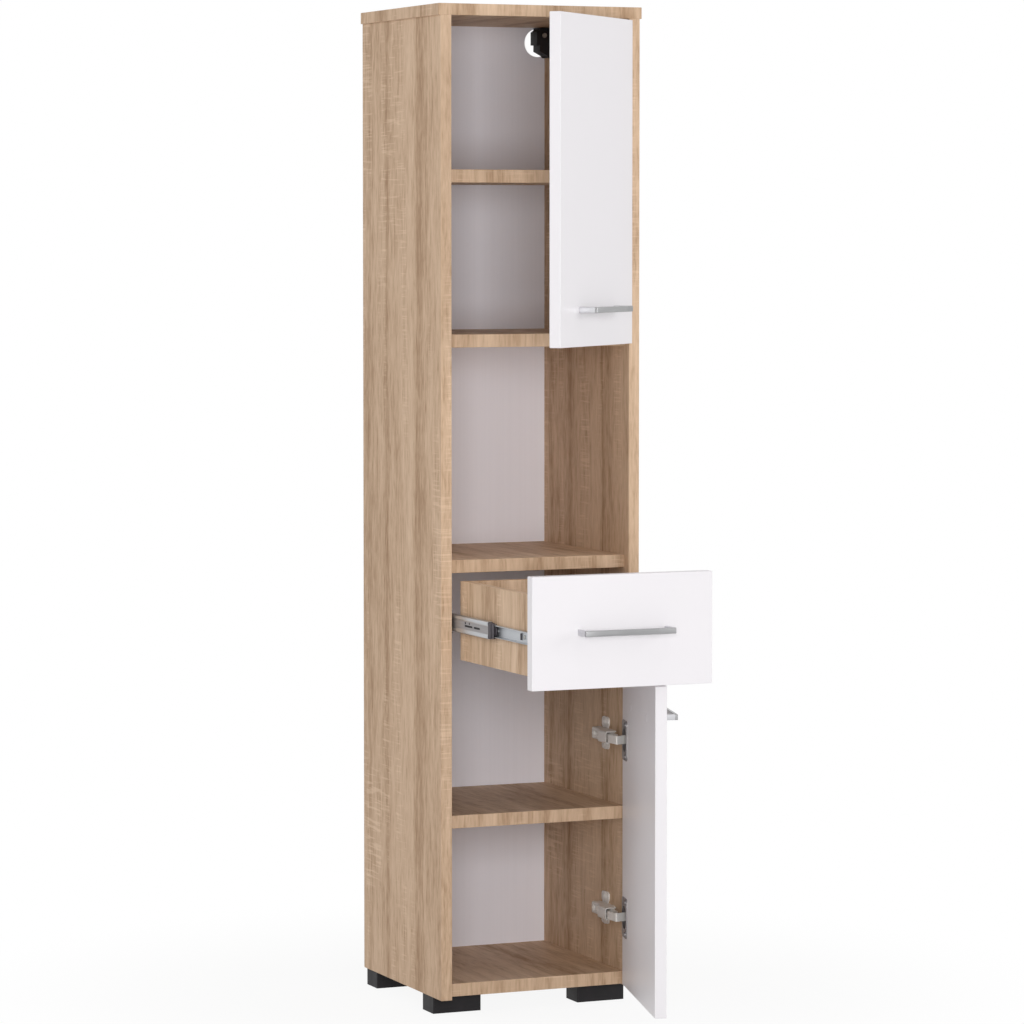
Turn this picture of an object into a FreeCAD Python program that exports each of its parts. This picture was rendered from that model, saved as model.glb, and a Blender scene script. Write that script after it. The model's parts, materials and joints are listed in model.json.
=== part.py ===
"""Tall bathroom cabinet: two doors, a drawer and an open niche, on four low feet.

The front faces -Y and +Z is up. The origin is on the floor, midway between the side panels and
midway along their depth. Everything is drawn as photographed: both doors stand open and the
drawer is pulled out. Lengths are in millimetres and angles in degrees.
"""
import math
import os

import FreeCAD
import Part
from FreeCAD import Vector

# ---------------------------------------------------------------- driving dimensions
CABINET_WIDTH = 300.0
PANEL_DEPTH = 294.0           # side panels, front edge to back edge
CABINET_HEIGHT = 1400.0       # floor to top
FOOT_HEIGHT = 25.0
SIDE_BOARD = 16.0
SHELF_BOARD = 18.0
FRONT_BOARD = 16.0            # doors and drawer front
DRAWER_BOARD = 12.0
THIN_BOARD = 3.0              # back panel and drawer bottom
TOP_OVERHANG = 3.0
SHELF_SETBACK = 15.0          # shelf fronts behind the side panels' front edges

BOTTOM_PANEL_Z = 27.0         # undersides of the level boards
LOWER_SHELF_Z = 262.0
MIDDLE_DIVIDER_Z = 617.0
UPPER_DIVIDER_Z = 928.5
UPPER_SHELF_Z = 1155.5

FRONT_GAP = 2.0               # between a front and the side panels
FRONT_STAND = 2.0             # closed fronts stand this far out of the carcass
DOOR_HEIGHT = 450.0
LOWER_DOOR_Z = 29.0
UPPER_DOOR_Z = 932.0
DRAWER_FRONT_Z = 482.0
DRAWER_FRONT_HEIGHT = 151.4

UPPER_DOOR_OPEN = 43.7        # photographed angles
LOWER_DOOR_OPEN = 74.8
DRAWER_PULL = 270.0           # photographed travel of the drawer
MIDDLE_PULL = 165.0           # photographed travel of the slides' middle members

# ---------------------------------------------------------------- sizes of the hardware
HINGE_INSET = 100.0           # door end to hinge centre
HINGE_DROP = 2.0              # both hinges sit this much lower than that
AXIS_IN = 5.0                 # door axis, past the door's hinge edge
AXIS_BACK = 5.8               # door axis, behind the closed door's outer face
CUP_RADIUS = 17.5
CUP_DEPTH = 11.5
CUP_EDGE = 22.0               # hinge edge of the door to the cup's centre
CUP_WALL = 1.2
CUP_FLANGE = 1.4
FLANGE_LENGTH = 56.0
FLANGE_WIDTH = 37.0
CUP_SCREW_SPACING = 45.0
CUP_SCREW_BEHIND = 9.5        # cup screws, past the cup's centre
PIN_EDGE = 10.7               # link pin: from the hinge edge, and below the inner face
PIN_DEEP = 7.0
PIN_RADIUS = 1.5
LINK_KNEES = ((-20.0, 2.5), (-8.0, 15.0))   # bends, from the pin, door closed
LINK_END = (0.0, 37.5)
LINK_THICK = 2.0
LINK_WIDTH = 12.0
LINK_RATIO = 0.77             # a link turns back by this share of the door's angle

ARM_WIDTH = 17.0
ARM_SHEET = 1.5
ARM_FRONT = 19.0              # behind the side panels' front edges
ARM_LENGTH = 65.0
ARM_HIGH = 26.5               # stands this far off the side panel at its front
ARM_LOW = 18.0                # and this far at its rear
PLATE_TALL = 6.0
PLATE_SHEET = 2.0
WING_SPAN = 46.0
WING_WIDTH = 24.0
WING_SCREWS = 32.0
WING_CENTRE = 74.0            # behind the side panels' front edges
WING_ROUND = 4.0
ARM_BEND = (26.0, 38.0)       # start and end of the arm's step, from its front
ARM_NOSE = (4.0, 20.0)        # the side walls rise by this much over this length at the front
SPINE_FRONT, SPINE_REAR = 22.0, 3.0   # the plate's spine: from the arm's front, past its rear
ARM_SCREWS = ((18.0, 2.0), (7.0, 2.5))   # from the arm's rear, and radius
ARM_SCREW_LENGTH = 15.0

HANDLE_LENGTH = 132.0
HANDLE_TALL = 8.0
HANDLE_REACH = 27.0
HANDLE_BAR = 4.0
HANDLE_POST = 5.0
HANDLE_SCREW_RADIUS = 1.6
HANDLE_SCREW_HEAD, HANDLE_SCREW_HEAD_TALL = 4.0, 2.4
HANDLE_SCREW_SINK = 3.0       # their heads sit in pockets this deep
HANDLE_GRIP = 12.0            # handle screws reach this far into the posts
HANDLE_ROUND = 0.7
HANDLE_SEAM = 0.35
HANDLE_INSET = 50.0           # door end to handle

DRAWER_BOX_LENGTH = 256.0
DRAWER_BOX_HEIGHT = 109.0
DRAWER_BOX_Z = 498.0
DRAWER_FLOOR_UP = 10.0
SLIDE_LENGTH = 250.0
SLIDE_THICK = 12.7
SLIDE_FRONT = 17.0            # closed members begin this far behind the front edges
SLIDE_DROP = 3.2              # slide centre, below the middle of the drawer sides
RAIL_HALF, MIDDLE_HALF, MEMBER_HALF = 16.0, 12.0, 8.7
OUTER_BALL, INNER_BALL = 1.25, 1.0
RETAINER_LENGTH = 38.0        # plastic front end of a middle member

HANGER_HOLE_RADIUS = 20.3
HANGER_HOLE_IN = 11.4         # hole centre from the side panel, and below the top panel
HANGER_HOLE_DOWN = 22.0

FOOT_SIZE = (72.0, 40.0)
FOOT_IN = 4.0                 # from the side panel's outer face
FRONT_FOOT_BACK = 40.0        # behind the side panels' front edges

CLEARANCE = 0.05              # round every fastener

# ---------------------------------------------------------------- derived places
HALF = CABINET_WIDTH / 2
INNER = HALF - SIDE_BOARD                 # inner face of a side panel
FRONT_Y = -PANEL_DEPTH / 2                # side panels' front edges
BACK_Y = PANEL_DEPTH / 2
SHELF_Y = FRONT_Y + SHELF_SETBACK
TOP_Z = CABINET_HEIGHT - SIDE_BOARD       # underside of the top panel
FACE_Y = FRONT_Y - FRONT_STAND            # outer faces of the closed fronts
INSIDE_Y = FACE_Y + FRONT_BOARD           # inner faces of the closed fronts
FRONT_HALF = INNER - FRONT_GAP            # half the width of a front
SLIDE_Z = DRAWER_BOX_Z + DRAWER_BOX_HEIGHT / 2 - SLIDE_DROP
BOX_HALF = INNER - SLIDE_THICK            # outer face of a drawer side
AXIS = Vector(FRONT_HALF + AXIS_IN, FACE_Y + AXIS_BACK, 0)
LINK_PIN = Vector(FRONT_HALF - PIN_EDGE, INSIDE_Y - PIN_DEEP, 0)
SIDES = (("left", -1), ("right", 1))
DOORS = (
    ("upper", UPPER_DOOR_Z, UPPER_DOOR_OPEN),
    ("lower", LOWER_DOOR_Z, LOWER_DOOR_OPEN),
)
UP = Vector(0, 0, 1)


# ---------------------------------------------------------------- building blocks
def block(low, high):
    """A box between two corners given in any order."""
    a = [min(p, q) for p, q in zip(low, high)]
    b = [max(p, q) for p, q in zip(low, high)]
    return Part.makeBox(b[0] - a[0], b[1] - a[1], b[2] - a[2], Vector(*a))


def rod(start, direction, radius, length):
    """A round rod from a point along a direction."""
    return Part.makeCylinder(radius, length, Vector(*start), Vector(*direction))


def softened(shape, radius, wanted=None):
    """The shape with its edges rounded: all of them, or those that wanted(edge) picks."""
    edges = [e for e in shape.Edges if wanted is None or wanted(e)]
    return shape.makeFillet(radius, edges)


def along(axis):
    """A test for straight edges that run along one axis, 0 for X, 1 for Y and 2 for Z."""
    def test(edge):
        start, end = edge.Vertexes[0].Point, edge.Vertexes[-1].Point
        return abs((end - start)[axis]) > 0.999 * edge.Length
    return test


def prism(points, z_low, z_high):
    """A prism over a polygon in the XY plane."""
    ring = [Vector(x, y, z_low) for x, y in points]
    face = Part.Face(Part.makePolygon(ring + ring[:1]))
    return face.extrude(Vector(0, 0, z_high - z_low))


def band(points, thickness, z_low, z_high):
    """A bent strip of constant thickness whose middle line follows points in the XY plane."""
    left, right = [], []
    count = len(points)
    for i, (x, y) in enumerate(points):
        before = points[max(i - 1, 0)]
        after = points[min(i + 1, count - 1)]
        turn_in = math.atan2(y - before[1], x - before[0]) if i else None
        turn_out = math.atan2(after[1] - y, after[0] - x) if i < count - 1 else None
        turn_in = turn_out if turn_in is None else turn_in
        turn_out = turn_in if turn_out is None else turn_out
        middle = (turn_in + turn_out) / 2
        reach = thickness / 2 / math.cos((turn_out - turn_in) / 2)
        dx, dy = -math.sin(middle) * reach, math.cos(middle) * reach
        left.append((x + dx, y + dy))
        right.append((x - dx, y - dy))
    return prism(left + right[::-1], z_low, z_high)


def screw(head, direction, radius, length, head_radius, head_height):
    """A pan head screw. head is the point under its head, direction is where it points."""
    d = Vector(*direction)
    d.normalize()
    top = Vector(*head) - d * head_height
    cap = Part.makeCone(head_radius * 0.8, head_radius, head_height * 0.4, top, d)
    skirt = Part.makeCylinder(
        head_radius, head_height * 0.6, top + d * (head_height * 0.4), d)
    shank = Part.makeCylinder(radius, length, Vector(*head), d)
    body = cap.fuse(skirt).fuse(shank)
    across = Part.makeBox(head_radius * 1.1, head_radius * 0.24, head_height * 0.5)
    across.translate(Vector(-head_radius * 0.55, -head_radius * 0.12, 0))
    upright = across.copy()
    upright.rotate(Vector(0, 0, 0), UP, 90)
    recess = across.fuse(upright)
    recess.Placement = FreeCAD.Placement(
        top, FreeCAD.Rotation(UP, d)).multiply(recess.Placement)
    return body.cut(recess).removeSplitter()


def opened(shape, angle, about=AXIS):
    """A closed door's piece, swung open about the vertical axis through a point."""
    swung = shape.copy()
    swung.rotate(about, UP, angle)
    return swung


def drilled(shape, tools):
    """The shape with the tools cut out of it."""
    return shape.cut(Part.makeCompound(tools)) if tools else shape


NODES = {}


def node(name, *solids):
    """Keep a node as one solid, or as a group of separate solids."""
    NODES[name] = solids[0] if len(solids) == 1 else Part.makeCompound(list(solids))


# ---------------------------------------------------------------- carcass fasteners
CAM_RADIUS, CAM_TALL, CAM_IN = 7.5, 12.5, 34.0
CAM_SLOT_REACH, CAM_SLOT_HALF, CAM_SLOT_DEEP = 5.25, 0.7, 1.2
CAM_PLAY = 0.1                # left over the hidden end of a cam
BOLT_RADIUS, BOLT_SINK = 3.0, 11.0
DOWEL_RADIUS, DOWEL_SINK, DOWEL_REACH = 4.0, 10.0, 20.0
JOINT_ROWS = (FRONT_Y + 55.0, BACK_Y - 55.0)
DOWEL_STEP = 32.0


def cam(start, direction, slot_axis):
    """A cam lock: a drum with a screwdriver slot in the end that shows."""
    drum = rod(start, direction, CAM_RADIUS, CAM_TALL)
    half = [CAM_SLOT_REACH if i == slot_axis else CAM_SLOT_HALF for i in range(3)]
    depth_axis = [abs(c) for c in direction].index(1)
    half[depth_axis] = CAM_SLOT_DEEP
    low = [c - h for c, h in zip(start, half)]
    high = [c + h for c, h in zip(start, half)]
    return drum.cut(block(low, high))


def carcass_fasteners():
    """Cams, bolts and dowels of every fixed board, with the holes that they need."""
    cams, bolts, dowels = [], [], []
    holes = {"left": [], "right": [], "top": []}
    board_holes = {}
    for board in (BOTTOM_PANEL_Z, MIDDLE_DIVIDER_Z, UPPER_DIVIDER_Z):
        tools = board_holes.setdefault(board, [])
        middle = board + SHELF_BOARD / 2
        for side, s in SIDES:
            for y in JOINT_ROWS:
                centre = s * (INNER - CAM_IN)
                cams.append(cam((centre, y, board), (0, 0, 1), 1))
                tools.append(rod((centre, y, board - 1), (0, 0, 1), CAM_RADIUS + CLEARANCE,
                                 CAM_TALL + 1 + CAM_PLAY))
                length = CAM_IN - CAM_RADIUS - 2 * CLEARANCE + BOLT_SINK
                start = (s * (INNER + BOLT_SINK), y, middle)
                bolts.append(rod(start, (-s, 0, 0), BOLT_RADIUS, length))
                bore = rod(start, (-s, 0, 0), BOLT_RADIUS + CLEARANCE, length + CAM_RADIUS / 2)
                tools.append(bore)
                holes[side].append(bore)
                start = (s * (INNER + DOWEL_SINK), y - DOWEL_STEP, middle)
                length = DOWEL_SINK + DOWEL_REACH
                dowels.append(rod(start, (-s, 0, 0), DOWEL_RADIUS, length))
                bore = rod(start, (-s, 0, 0), DOWEL_RADIUS + CLEARANCE, length + 1)
                tools.append(bore)
                holes[side].append(bore)
    centre_x = INNER + SIDE_BOARD / 2
    for side, s in SIDES:
        for y in JOINT_ROWS:
            centre = (s * INNER, y, TOP_Z - CAM_IN)
            cams.append(cam(centre, (s, 0, 0), 1))
            before = (s * (INNER - 1), y, TOP_Z - CAM_IN)
            holes[side].append(rod(before, (s, 0, 0), CAM_RADIUS + CLEARANCE,
                                   CAM_TALL + 1 + CAM_PLAY))
            length = CAM_IN - CAM_RADIUS - 2 * CLEARANCE + BOLT_SINK
            start = (s * centre_x, y, TOP_Z + BOLT_SINK)
            bolts.append(rod(start, (0, 0, -1), BOLT_RADIUS, length))
            bore = rod(start, (0, 0, -1), BOLT_RADIUS + CLEARANCE, length + CAM_RADIUS / 2)
            holes[side].append(bore)
            holes["top"].append(bore)
            start = (s * centre_x, y - DOWEL_STEP, TOP_Z + DOWEL_SINK)
            length = DOWEL_SINK + DOWEL_REACH
            dowels.append(rod(start, (0, 0, -1), DOWEL_RADIUS, length))
            bore = rod(start, (0, 0, -1), DOWEL_RADIUS + CLEARANCE, length + 1)
            holes[side].append(bore)
            holes["top"].append(bore)
    node("cam_locks", *cams)
    node("cam_bolts", *bolts)
    node("dowels", *dowels)
    return holes, board_holes


# ---------------------------------------------------------------- loose shelves
SHELF_PIN_RADIUS, SHELF_PIN_SINK, SHELF_PIN_REACH = 2.5, 8.0, 7.0
SHELF_PLAY = 0.5
SHELF_PIN_ROWS = (FRONT_Y + 60.0, BACK_Y - 50.0)


def shelf_pins(holes):
    """Eight pins that carry the two loose shelves."""
    pins = []
    for shelf in (LOWER_SHELF_Z, UPPER_SHELF_Z):
        z = shelf - SHELF_PIN_RADIUS
        for side, s in SIDES:
            for y in SHELF_PIN_ROWS:
                start = (s * (INNER + SHELF_PIN_SINK), y, z)
                length = SHELF_PIN_SINK + SHELF_PIN_REACH
                pins.append(rod(start, (-s, 0, 0), SHELF_PIN_RADIUS, length))
                holes[side].append(
                    rod(start, (-s, 0, 0), SHELF_PIN_RADIUS + CLEARANCE, SHELF_PIN_SINK + 1))
    node("shelf_pins", *pins)


# ---------------------------------------------------------------- boards
EDGE_ROUND = 0.6
NAIL_HEAD, NAIL_HEAD_TALL, NAIL_RADIUS, NAIL_LENGTH = 2.0, 0.6, 0.8, 16.0
SHELF_END_GAP = 2.0           # loose shelves stop this far before the back panel
NAIL_FIRST, NAIL_STEP, NAIL_COUNT = 60.0, 210.0, 7


def carcass_boards(holes, board_holes):
    """Sides, top, bottom, dividers and loose shelves."""
    for side, s in SIDES:
        panel = block((s * INNER, FRONT_Y, FOOT_HEIGHT), (s * HALF, BACK_Y, TOP_Z))
        front = lambda e: e.BoundBox.YMax < FRONT_Y + 0.1 and along(2)(e)
        panel = softened(panel, EDGE_ROUND, front)
        node("side_panel_" + side, drilled(panel, holes[side]))
    edge = HALF + TOP_OVERHANG
    top = block((-edge, FRONT_Y, TOP_Z), (edge, BACK_Y, CABINET_HEIGHT))
    node("top_panel", drilled(softened(top, EDGE_ROUND), holes["top"]))
    fixed = (
        ("bottom_panel", BOTTOM_PANEL_Z),
        ("middle_divider", MIDDLE_DIVIDER_Z),
        ("upper_divider", UPPER_DIVIDER_Z),
    )
    long_front = lambda e: e.BoundBox.YMax < SHELF_Y + 0.1 and along(0)(e)
    for name, z in fixed:
        board = block((-INNER, SHELF_Y, z), (INNER, BACK_Y, z + SHELF_BOARD))
        board = softened(board, EDGE_ROUND, long_front)
        node(name, drilled(board, board_holes.get(z, [])))
    for name, z in (("lower_shelf", LOWER_SHELF_Z), ("upper_shelf", UPPER_SHELF_Z)):
        edge = INNER - SHELF_PLAY
        board = block((-edge, SHELF_Y, z), (edge, BACK_Y - SHELF_END_GAP, z + SHELF_BOARD))
        node(name, softened(board, EDGE_ROUND, long_front))


def hanger_hole_centre(s):
    """Centre of the round hanger hole on one side, at the back panel's front face."""
    return Vector(s * (INNER - HANGER_HOLE_IN), BACK_Y, TOP_Z - HANGER_HOLE_DOWN)


def back_panel():
    """A thin board nailed over the back edges, with a round hole behind each hanger."""
    low = (-HALF + 1, BACK_Y, BOTTOM_PANEL_Z)
    board = block(low, (HALF - 1, BACK_Y + THIN_BOARD, CABINET_HEIGHT - 1))
    tools = []
    for _, s in SIDES:
        hole = hanger_hole_centre(s) - Vector(0, 1, 0)
        tools.append(rod(hole, (0, 1, 0), HANGER_HOLE_RADIUS, THIN_BOARD + 2))
    nails, bores = [], {"left": [], "right": []}
    for side, s in SIDES:
        for i in range(NAIL_COUNT):
            z = NAIL_FIRST + i * NAIL_STEP
            x = s * (INNER + SIDE_BOARD / 2)
            head = rod((x, BACK_Y + THIN_BOARD + NAIL_HEAD_TALL, z), (0, -1, 0), NAIL_HEAD, NAIL_HEAD_TALL)
            shank = rod((x, BACK_Y + THIN_BOARD, z), (0, -1, 0), NAIL_RADIUS, NAIL_LENGTH)
            nails.append(head.fuse(shank))
            bore = rod((x, BACK_Y + THIN_BOARD, z), (0, -1, 0), NAIL_RADIUS + CLEARANCE,
                       NAIL_LENGTH + CLEARANCE)
            bores[side].append(bore)
            tools.append(bore)
    node("back_panel", drilled(board, tools))
    node("back_panel_nails", *nails)
    return bores


# ---------------------------------------------------------------- feet
FOOT_SCREW_RADIUS, FOOT_SCREW_IN = 2.0, (26.0, 58.0)
FOOT_SCREW_LENGTH, FOOT_SCREW_HEAD, FOOT_SCREW_HEAD_TALL = 24.0, 4.0, 2.4
FOOT_SINK, FOOT_SINK_RADIUS = 16.0, 4.6
FOOT_ROUND = 1.5
FOOT_STEP_IN = 2.0            # the step is this much smaller than the foot all round
FOOT_SCREW_BACK = 12.0        # from the foot's rear edge


def feet(board_holes):
    """Four plastic blocks under the corners. Each steps up by the bottom panel's rise."""
    screws = []
    for row, y in (("front", FRONT_Y + FRONT_FOOT_BACK), ("rear", BACK_Y - FOOT_SIZE[1])):
        for side, s in SIDES:
            outer = s * (HALF - FOOT_IN)
            inner = outer - s * FOOT_SIZE[0]
            low = block((outer, y, 0), (inner, y + FOOT_SIZE[1], FOOT_HEIGHT))
            low = softened(low, FOOT_ROUND, along(2))
            step = block((s * (INNER - 0.2), y + FOOT_STEP_IN, FOOT_HEIGHT - 1),
                         (inner + s * FOOT_STEP_IN, y + FOOT_SIZE[1] - FOOT_STEP_IN, BOTTOM_PANEL_Z))
            foot = low.fuse(step).removeSplitter()
            tools = []
            for inset in FOOT_SCREW_IN:
                place = (outer - s * inset, y + FOOT_SIZE[1] - FOOT_SCREW_BACK, FOOT_SINK)
                screws.append(screw(place, (0, 0, 1), FOOT_SCREW_RADIUS, FOOT_SCREW_LENGTH,
                                    FOOT_SCREW_HEAD, FOOT_SCREW_HEAD_TALL))
                tools.append(rod((place[0], place[1], -1), (0, 0, 1), FOOT_SINK_RADIUS, FOOT_SINK + 1))
                tools.append(rod(place, (0, 0, 1), FOOT_SCREW_RADIUS + CLEARANCE,
                                 FOOT_SCREW_LENGTH + 4 * CLEARANCE))
                board_holes[BOTTOM_PANEL_Z].append(tools[-1])
            node("foot_%s_%s" % (row, side), drilled(foot, tools))
    node("foot_screws", *screws)


# ---------------------------------------------------------------- cabinet hangers
HANGER_WIDE, HANGER_TALL, HANGER_FRONT, HANGER_GAP = 23.0, 43.0, 26.0, 2.0
HANGER_WALL = 3.0
HANGER_STEP = 4.3             # the housing is this much narrower below its step
HANGER_STEP_DOWN = 25.0
HANGER_SLANT_DOWN = 34.0
HOOK_SHEET, HOOK_WIDE, HOOK_OUT = 2.5, 10.0, 8.0
HOOK_DOWN = 22.0              # underside of the hook's stem, below the housing's top
HOOK_PLATE, HOOK_TIP = 9.0, 12.0
HANGER_PIN_RADIUS, HANGER_PIN_LENGTH = 2.2, 13.0
HANGER_SCREW_RADIUS, HANGER_SCREW_HEAD, HANGER_SCREW_HEAD_TALL = 1.8, 3.6, 1.6
HANGER_TOE = (7.0, 5.0)       # the housing's slanted bottom ends this far from the side panel


def hanger_housing(s):
    """A stepped housing against the side panel, open at the back where its hook comes out."""
    inner, top = INNER, TOP_Z - 1
    wide = inner - HANGER_WIDE
    outline = [
        (inner, top), (wide + HANGER_STEP, top), (wide + HANGER_STEP, top - HANGER_WALL),
        (wide, top - 2 * HANGER_WALL), (wide, top - HANGER_STEP_DOWN),
        (wide + HANGER_STEP, top - HANGER_STEP_DOWN), (wide + HANGER_STEP, top - HANGER_SLANT_DOWN),
        (inner - HANGER_TOE[0], top - HANGER_TALL + HANGER_WALL),
        (inner - HANGER_TOE[1], top - HANGER_TALL), (inner, top - HANGER_TALL),
    ]
    front, back = BACK_Y - HANGER_FRONT, BACK_Y - HANGER_GAP
    ring = [Vector(s * x, front, z) for x, z in outline]
    body = Part.Face(Part.makePolygon(ring + ring[:1])).extrude(Vector(0, back - front, 0))
    low = (s * (inner - HANGER_WALL), front + HANGER_WALL, top - HANGER_SLANT_DOWN + HANGER_WALL)
    high = (s * (wide + HANGER_STEP + HANGER_WALL / 2), back + 1, top - 2 * HANGER_WALL)
    return body.cut(block(low, high))


def hangers(holes):
    """Housings, hooks and screws of the two cabinet hangers."""
    housings, hooks, screws = [], [], []
    top = TOP_Z - 1
    front = BACK_Y - HANGER_FRONT
    stem_z = top - HOOK_DOWN
    y_root = front + HANGER_WALL + 1
    y_tip = BACK_Y + THIN_BOARD + HOOK_OUT
    for side, s in SIDES:
        body = hanger_housing(s)
        x = s * (INNER - HANGER_HOLE_IN)
        near_x, far_x = x - HOOK_WIDE / 2, x + HOOK_WIDE / 2
        stem = block((near_x, y_root, stem_z), (far_x, y_tip, stem_z + HOOK_SHEET))
        tip = block((near_x, y_tip - HOOK_SHEET, stem_z), (far_x, y_tip, stem_z + HOOK_TIP))
        root = block((near_x, y_root, stem_z - HOOK_PLATE / 2),
                     (far_x, y_root + HOOK_SHEET, stem_z + HOOK_PLATE))
        hooks.append(stem.fuse(tip).fuse(root).removeSplitter())
        place = (x, front, top - HOOK_DOWN / 2)
        screws.append(screw(place, (0, 1, 0), HANGER_SCREW_RADIUS, HANGER_WALL,
                            HANGER_SCREW_HEAD, HANGER_SCREW_HEAD_TALL))
        body = body.cut(rod(place, (0, 1, 0), HANGER_SCREW_RADIUS + CLEARANCE, HANGER_WALL + CLEARANCE))
        for z in (top - HANGER_WALL, top - HANGER_TALL + HANGER_WALL):
            start = (s * (INNER - HANGER_WALL), front + HANGER_FRONT / 2, z)
            screws.append(rod(start, (s, 0, 0), HANGER_PIN_RADIUS, HANGER_PIN_LENGTH))
            bore = rod(start, (s, 0, 0), HANGER_PIN_RADIUS + CLEARANCE, HANGER_PIN_LENGTH + CLEARANCE)
            body = body.cut(bore)
            holes[side].append(bore)
        housings.append(body)
    node("cabinet_hangers", *housings)
    node("hanger_hooks", *hooks)
    node("hanger_screws", *screws)


# ---------------------------------------------------------------- hinges
WING_SCREW_RADIUS, WING_SCREW_LENGTH, WING_SCREW_HEAD = 2.2, 13.0, 4.2
ARM_SCREW_HEAD = 1.8
CUP_SCREW_RADIUS, CUP_SCREW_LENGTH = 1.9, 12.0
CUP_SCREW_HEAD, CUP_SCREW_HEAD_TALL = 3.8, 1.8
CUP_LIP = 0.5                 # the flange reaches this far past the cup's wall
FLANGE_ROUND = 6.0
EYE_WALL, ROLLER_RADIUS = 1.3, 1.6


def hinge_heights(door_z):
    """Heights of one door's two hinge centres."""
    low, high = door_z + HINGE_INSET, door_z + DOOR_HEIGHT - HINGE_INSET
    return (low - HINGE_DROP, high - HINGE_DROP)


def arm_outline():
    """Side outline of a hinge arm as its bent top line, door end first."""
    front = FRONT_Y + ARM_FRONT
    high, low = INNER - ARM_HIGH, INNER - ARM_LOW
    return [(high, front), (high, front + ARM_BEND[0]), (low, front + ARM_BEND[1]), (low, front + ARM_LENGTH)]


def hinge_fixed_side(holes):
    """Mounting plates and arms of all four hinges, with their screws."""
    plates, arms, screws = [], [], []
    wing_y = FRONT_Y + WING_CENTRE
    rear_y = FRONT_Y + ARM_FRONT + ARM_LENGTH
    for _, door_z, _ in DOORS:
        for z in hinge_heights(door_z):
            wings = block((INNER, wing_y - WING_WIDTH / 2, z - WING_SPAN / 2),
                          (INNER - PLATE_SHEET, wing_y + WING_WIDTH / 2, z + WING_SPAN / 2))
            wings = softened(wings, WING_ROUND, along(0))
            spine = block((INNER, FRONT_Y + ARM_FRONT + SPINE_FRONT, z - ARM_WIDTH / 2),
                          (INNER - PLATE_TALL, rear_y + SPINE_REAR, z + ARM_WIDTH / 2))
            plate = wings.fuse(spine).removeSplitter()
            for step in (-WING_SCREWS / 2, WING_SCREWS / 2):
                head = (INNER - PLATE_SHEET, wing_y, z + step)
                screws.append(screw(head, (1, 0, 0), WING_SCREW_RADIUS, WING_SCREW_LENGTH,
                                    WING_SCREW_HEAD, PLATE_SHEET))
                bore = rod(head, (1, 0, 0), WING_SCREW_RADIUS + CLEARANCE, WING_SCREW_LENGTH + 2 * CLEARANCE)
                plate = plate.cut(bore)
                holes["right"].append(bore)
            top = arm_outline()
            foot_x = INNER - PLATE_TALL
            front = FRONT_Y + ARM_FRONT
            wall_line = top + [(foot_x, rear_y), (foot_x, front + ARM_NOSE[1]), (foot_x - ARM_NOSE[0], front)]
            wall_low = prism(wall_line, z - ARM_WIDTH / 2, z - ARM_WIDTH / 2 + ARM_SHEET)
            wall_high = prism(wall_line, z + ARM_WIDTH / 2 - ARM_SHEET, z + ARM_WIDTH / 2)
            middle_line = [(x + ARM_SHEET / 2, y) for x, y in top]
            web = band(middle_line, ARM_SHEET, z - ARM_WIDTH / 2, z + ARM_WIDTH / 2)
            arm = web.fuse(wall_low).fuse(wall_high).removeSplitter()
            low_x = INNER - ARM_LOW
            for back, radius in ARM_SCREWS:
                head = (low_x, rear_y - back, z)
                screws.append(screw(head, (1, 0, 0), radius, ARM_SCREW_LENGTH, radius * 1.7, ARM_SCREW_HEAD))
                bore = rod(head, (1, 0, 0), radius + CLEARANCE, ARM_SCREW_LENGTH + CLEARANCE)
                arm = arm.cut(bore)
                plate = plate.cut(bore)
            plates.append(plate)
            arms.append(arm)
    node("hinge_mounting_plates", *plates)
    node("hinge_arms", *arms)
    node("hinge_screws", *screws)


def hinge_cup(z):
    """A pressed cup with its flange, in the closed door. Open towards the cabinet."""
    x = FRONT_HALF - CUP_EDGE
    floor_y = INSIDE_Y - CUP_DEPTH
    cup = rod((x, floor_y, z), (0, 1, 0), CUP_RADIUS, CUP_DEPTH)
    edge = x + CUP_RADIUS + CUP_LIP
    flange = block((edge, INSIDE_Y, z - FLANGE_LENGTH / 2),
                   (edge - FLANGE_WIDTH, INSIDE_Y + CUP_FLANGE, z + FLANGE_LENGTH / 2))
    flange = softened(flange, FLANGE_ROUND, along(1))
    inside = rod((x, floor_y + CUP_WALL, z), (0, 1, 0), CUP_RADIUS - CUP_WALL, CUP_DEPTH + 5)
    cup = cup.fuse(flange).cut(inside).removeSplitter()
    pin_reach = 2 * CUP_RADIUS
    start = (LINK_PIN.x, LINK_PIN.y, z - pin_reach / 2)
    pin_bore = rod(start, (0, 0, 1), PIN_RADIUS + CLEARANCE, pin_reach)
    return cup.cut(pin_bore.common(rod((x, floor_y, z), (0, 1, 0), CUP_RADIUS, CUP_DEPTH)))


def link_pin(z):
    """The pin across a cup on which the link turns."""
    x = FRONT_HALF - CUP_EDGE
    side = LINK_PIN.x - x
    half = math.sqrt((CUP_RADIUS - 0.3) ** 2 - (side + PIN_RADIUS) ** 2)
    return rod((LINK_PIN.x, LINK_PIN.y, z - half), (0, 0, 1), PIN_RADIUS, 2 * half)


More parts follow.
